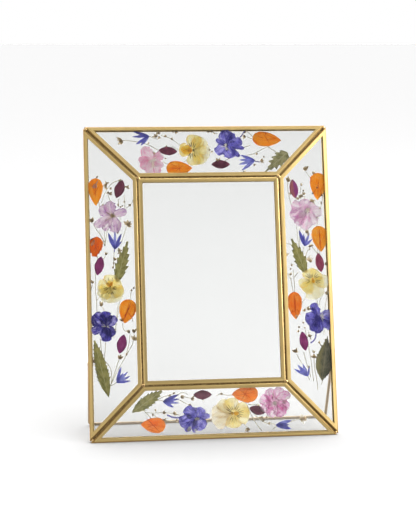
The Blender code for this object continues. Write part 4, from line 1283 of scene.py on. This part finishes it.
# %% Sprigs of the right border
sprigs("right", [
    [(305.4, 171.5), (308, 175), (311, 178.5)],
    [(287.6, 182), (287.6, 189), (288.6, 195), (290, 201), (292, 207)],
    [(300.6, 187), (299.8, 193)], [(295.6, 199), (296, 204)], [(304.3, 195.5), (304.6, 201)],
    [(322.6, 196), (320.9, 206), (318.5, 214), (317, 223), (316, 231)],
    [(317.2, 247), (317.6, 254)], [(315.2, 201), (313.6, 205)],
    [(296.4, 226), (297.5, 237), (298.5, 246), (300.6, 254)],
    [(299.8, 227), (299.5, 240), (299.6, 250), (301.2, 255)],
    [(303.4, 247), (302.6, 252), (302.2, 256)], [(308.2, 249), (306, 254), (305, 260)],
    [(311.8, 247), (315.5, 251.5), (318, 254.5)], [(319.2, 250), (319.6, 256)],
    [(284.5, 243.5), (289, 244), (292.5, 246.5)], [(290.6, 277), (291.5, 284), (293, 292)],
    [(293.3, 270), (293.6, 277), (294.3, 284), (294.5, 292)], [(294, 277.5), (298, 272)],
    [(286.2, 271), (290.6, 279.5)], [(327, 296), (325.3, 304), (324.6, 311)],
    [(306, 297), (303.5, 300), (301.8, 304)], [(316.4, 298), (317.6, 306)],
    [(322.5, 292), (320, 300), (318.5, 306)], [(317.6, 268), (316.8, 274)],
    [(305, 329), (306, 335), (307.5, 340), (308.5, 347), (310.5, 358), (312, 370), (313.6, 381)],
    [(309, 331), (307.3, 338)], [(296.5, 354), (299, 359), (302, 363.5)],
    [(313.8, 358), (314.5, 368), (316.5, 379), (317.7, 390)],
    [(303.5, 352), (306, 362), (308.5, 370), (310.6, 377)], [(319.3, 343), (322.6, 349)],
    [(322.6, 379), (321.4, 384.5)], [(324, 330), (323.7, 334.5)], [(307, 375), (309.5, 380)]], [
    (305, 168.3, 4, 95), (313, 173, 2.8, 100, 2), (288, 179.4, 4.2, 85), (301.2, 184.4, 2.6, 80, 2),
    (297, 198.6, 2.4, 200), (299.4, 197, 2.4, 230), (301.6, 195.6, 2.4, 40),
    (303.6, 193.4, 2.6, 60), (303, 190.6, 1.8, 100, 2), (290, 193.6, 2.2, 70, 2),
    (312, 200.4, 3, 70), (310, 201.4, 2.2, 170, 2), (313, 203.4, 1.8, 300, 2),
    (321.6, 194.6, 2.8, 40), (323.6, 193.6, 1.8, 10, 2), (320.7, 203, 1.7, 150, 2),
    (319.5, 208, 2, 120, 2), (316, 217.6, 2, 90, 2), (306.4, 231.6, 3.2, 100),
    (308, 234.4, 2.2, 60, 2), (309.4, 246, 2.4, 130), (311.8, 245.4, 2.2, 50, 2),
    (309.4, 249.2, 1.6, 250, 2), (310.2, 261, 2.4, 75), (291.6, 265, 2, 60, 2),
    (290.4, 268.8, 1.8, 100, 2), (290.4, 274, 2.2, 110), (326.2, 264, 2.6, 20),
    (328.2, 263.4, 1.6, 20, 2), (328.4, 281, 1.8, 90, 2), (326.6, 292.6, 3.6, 95),
    (304, 310, 2.6, 120), (308.2, 308.4, 3, 70), (303, 322.4, 2, 60, 2), (298.8, 327, 1.8, 80, 2),
    (297.8, 331, 2, 130), (304.6, 327.6, 1.8, 100, 2), (310, 327, 2, 90, 2),
    (309.4, 335.4, 2.8, 75), (310.4, 338.4, 1.8, 90, 2), (295.4, 350.4, 3.4, 85, 4),
    (313.7, 351.6, 2.6, 90, 2), (313.7, 356, 3.2, 90, 4), (319, 342.4, 2, 120, 2),
    (320.6, 345, 1.6, 120, 2),
    (325, 340, 2, 90, 2), (324.9, 343.6, 1.8, 90, 2), (308.4, 366.6, 1.8, 80, 2)], [
    (308.6, 258, 4.6, 80, 4), (286.4, 254, 3, 100)])

# %% Sprigs of the bottom border
sprigs("bottom", [
    [(157, 400), (163, 397), (170, 394.8), (175, 393)],
    [(175, 395.5), (181, 393), (184.5, 392.6), (187.5, 394.5)],
    [(157, 400), (161, 400.3), (164, 401.3)], [(184, 396.5), (189, 398), (193, 398.5)],
    [(178, 399), (184, 402.5), (190, 405)],
    [(145, 412.5), (155, 413), (164, 412.6), (172, 413.5), (180, 415)],
    [(144, 411), (149, 416), (153, 420)],
    [(152.6, 414), (158, 418), (164, 420), (173, 421), (178, 420.6)], [(202, 399), (203.5, 401)],
    [(216.5, 395.4), (221, 393.6), (226, 395), (232.5, 395)],
    [(246.5, 403), (250, 412), (254, 420), (258, 426), (262, 430.5)],
    [(248, 404), (252, 404.6), (258, 404)], [(253, 412), (258, 418), (264, 422), (269, 424)],
    [(236, 402), (238.4, 400)], [(243, 422), (245.5, 425), (247.5, 428)],
    [(247.6, 429), (247.7, 432)], [(270.5, 423.5), (275, 424.3)], [(272.5, 429.5), (277.5, 425)],
    [(290, 422), (296, 419.6), (301, 418.8)], [(156, 410), (156, 413)]], [
    (169.4, 395.4, 2, 200), (173.8, 393, 2, 60, 2), (182.4, 396.6, 3, 30), (192.8, 398.4, 3, 10),
    (190, 404.6, 2, 20, 2), (155.4, 410, 1.8, 90, 2), (164.6, 412.4, 2.8, 10), (175, 413.2, 3, 10),
    (153, 414.6, 2, 300, 2), (164.6, 420, 2.8, 350), (177, 420.4, 2.4, 10),
    (221, 393.6, 2.6, 150, 2), (257.8, 405.8, 2.6, 120), (260.2, 407.4, 2.2, 60, 2),
    (261, 417, 2.2, 120), (267, 417, 2, 20), (263.4, 420.6, 2, 250, 2), (269.4, 423, 2, 10),
    (247.8, 429.4, 3.4, 280), (301, 419.4, 2.6, 190), (284.5, 401.5, 3.2, 340)], [
    (303.8, 418.2, 4.4, 15, 5), (304.2, 418, 3, 60)])

# %% [markdown]
# Three of the purple larkspurs show the thin hollow spur that grows behind the flower, and two a
# bit of stalk. They are as fine as the stems, so they are drawn over the photograph too.

# %% Draw the spurs and stalks in their flower's colour
for side, lines in (
        ("top", [(0.4, [(235, 141), (240, 137.5), (244.5, 131)]),
                 (0.3, [(252, 160.6), (256, 161.6), (260, 162.4)])]),
        ("left", [(0.3, [(115.2, 248), (114.2, 252)])]),
        ("right", [(0.55, [(315.9, 331), (315.5, 336), (314, 340), (310.4, 343)])]),
        ("bottom", [(0.6, [(167, 414.8), (173, 417.2), (181, 417.6)])])):
    draw_stems(side, "spurs_and_stalks", "purple", lines)
print("spurs drawn")

# %% Put the single blades away
for group in masters.values():
    for piece in group:
        bpy.data.objects.remove(piece, do_unlink=True)

# %% [markdown]
# ## The table and the light
#
# The frame stands on a pale table in a bright room: a soft glow from behind and above, a window on
# the right and a white wall on the left. The room in front of the frame is dim, as it was for the
# photographer, so the glass stays clear and the brass shows its bands. A wide light overhead
# stands for the sky. It lights the table and the flowers, and brass and glass don't mirror it.

# %% Lay the table
clear()
bpy.ops.mesh.primitive_plane_add(size=60)
table = name_it("pale_table")
paper = Finish("pale_paper")
paper.set(Base_Color=(0.217, 0.217, 0.217), Roughness=1.0, Specular_IOR_Level=0.0)
dress(table, paper)
# Glass and brass mirror the dark side of the room, not the table
table.visible_glossy = False
print("table", round(table.dimensions.x), "m wide, so that its edge lies far behind the frame")

# %% Light the room
soft_room = bpy.data.worlds.new("soft_room")
bpy.context.scene.world = soft_room
room = Finish("soft_room", soft_room)
aim = room.split(room.add("ShaderNodeTexCoord", {}, {}, "Generated"))
behind = room.step(aim[1], 0.0, 0.3)
window = room.step(aim[0], 0.62, 0.85)
wall = room.step(aim[0] * -1.0, 0.42, 0.75)
ceiling = room.step(aim[2], 0.75, 0.95) * room.step(aim[1], -0.2, 0.15)
high = room.step(aim[2], 0.08, 0.3)
below = room.step(aim[2] * -1.0, 0.2, 0.45)
glow = 0.22  # of the dim front; each part of the room adds its own
for part, bright in ((below, 0.5), (behind, 0.78), (behind * high, 2.9), (window, 2.2), (wall, 1.4),
                     (ceiling, 5.8)):
    glow = glow + part * bright
room.set(Color=glow, Strength=1.0)
print("room lit from the right, the left, above and behind")


def lamp(name, kind, aim_at, power, place=(0, 0, 0)):
    """A lamp that shines from a place along a direction."""
    light = bpy.data.lights.new(name, kind)
    light.energy = power
    stand = bpy.data.objects.new(name, light)
    bpy.context.scene.collection.objects.link(stand)
    stand.location = place
    stand.rotation_euler = aim_at.to_track_quat("-Z", "Y").to_euler()
    return stand


def softbox(name, place, target, size, power):
    box = lamp(name, "AREA", Vector(target) - Vector(place), power, place)
    box.data.shape, box.data.size = "SQUARE", size
    return box


softbox("window_light", (1.9, -0.3, 0.9), (0, 0, 0.1), 1.2, 56)
# The sky overhead: bright enough for the table, so the brass would mirror it as a glare
sky = lamp("sky_light", "SUN", Vector((-0.1, -0.08, -0.98)), 4.8)
sky.data.angle = math.radians(50)
sky.visible_glossy = False
# A large soft light fills the shadow in front; nothing mirrors it
fill = softbox("fill_light", (0.9, -1.3, 1.5), (0, 0, 0.05), 1.4, 30)
fill.visible_glossy = fill.visible_transmission = False

# %% Import json
import json
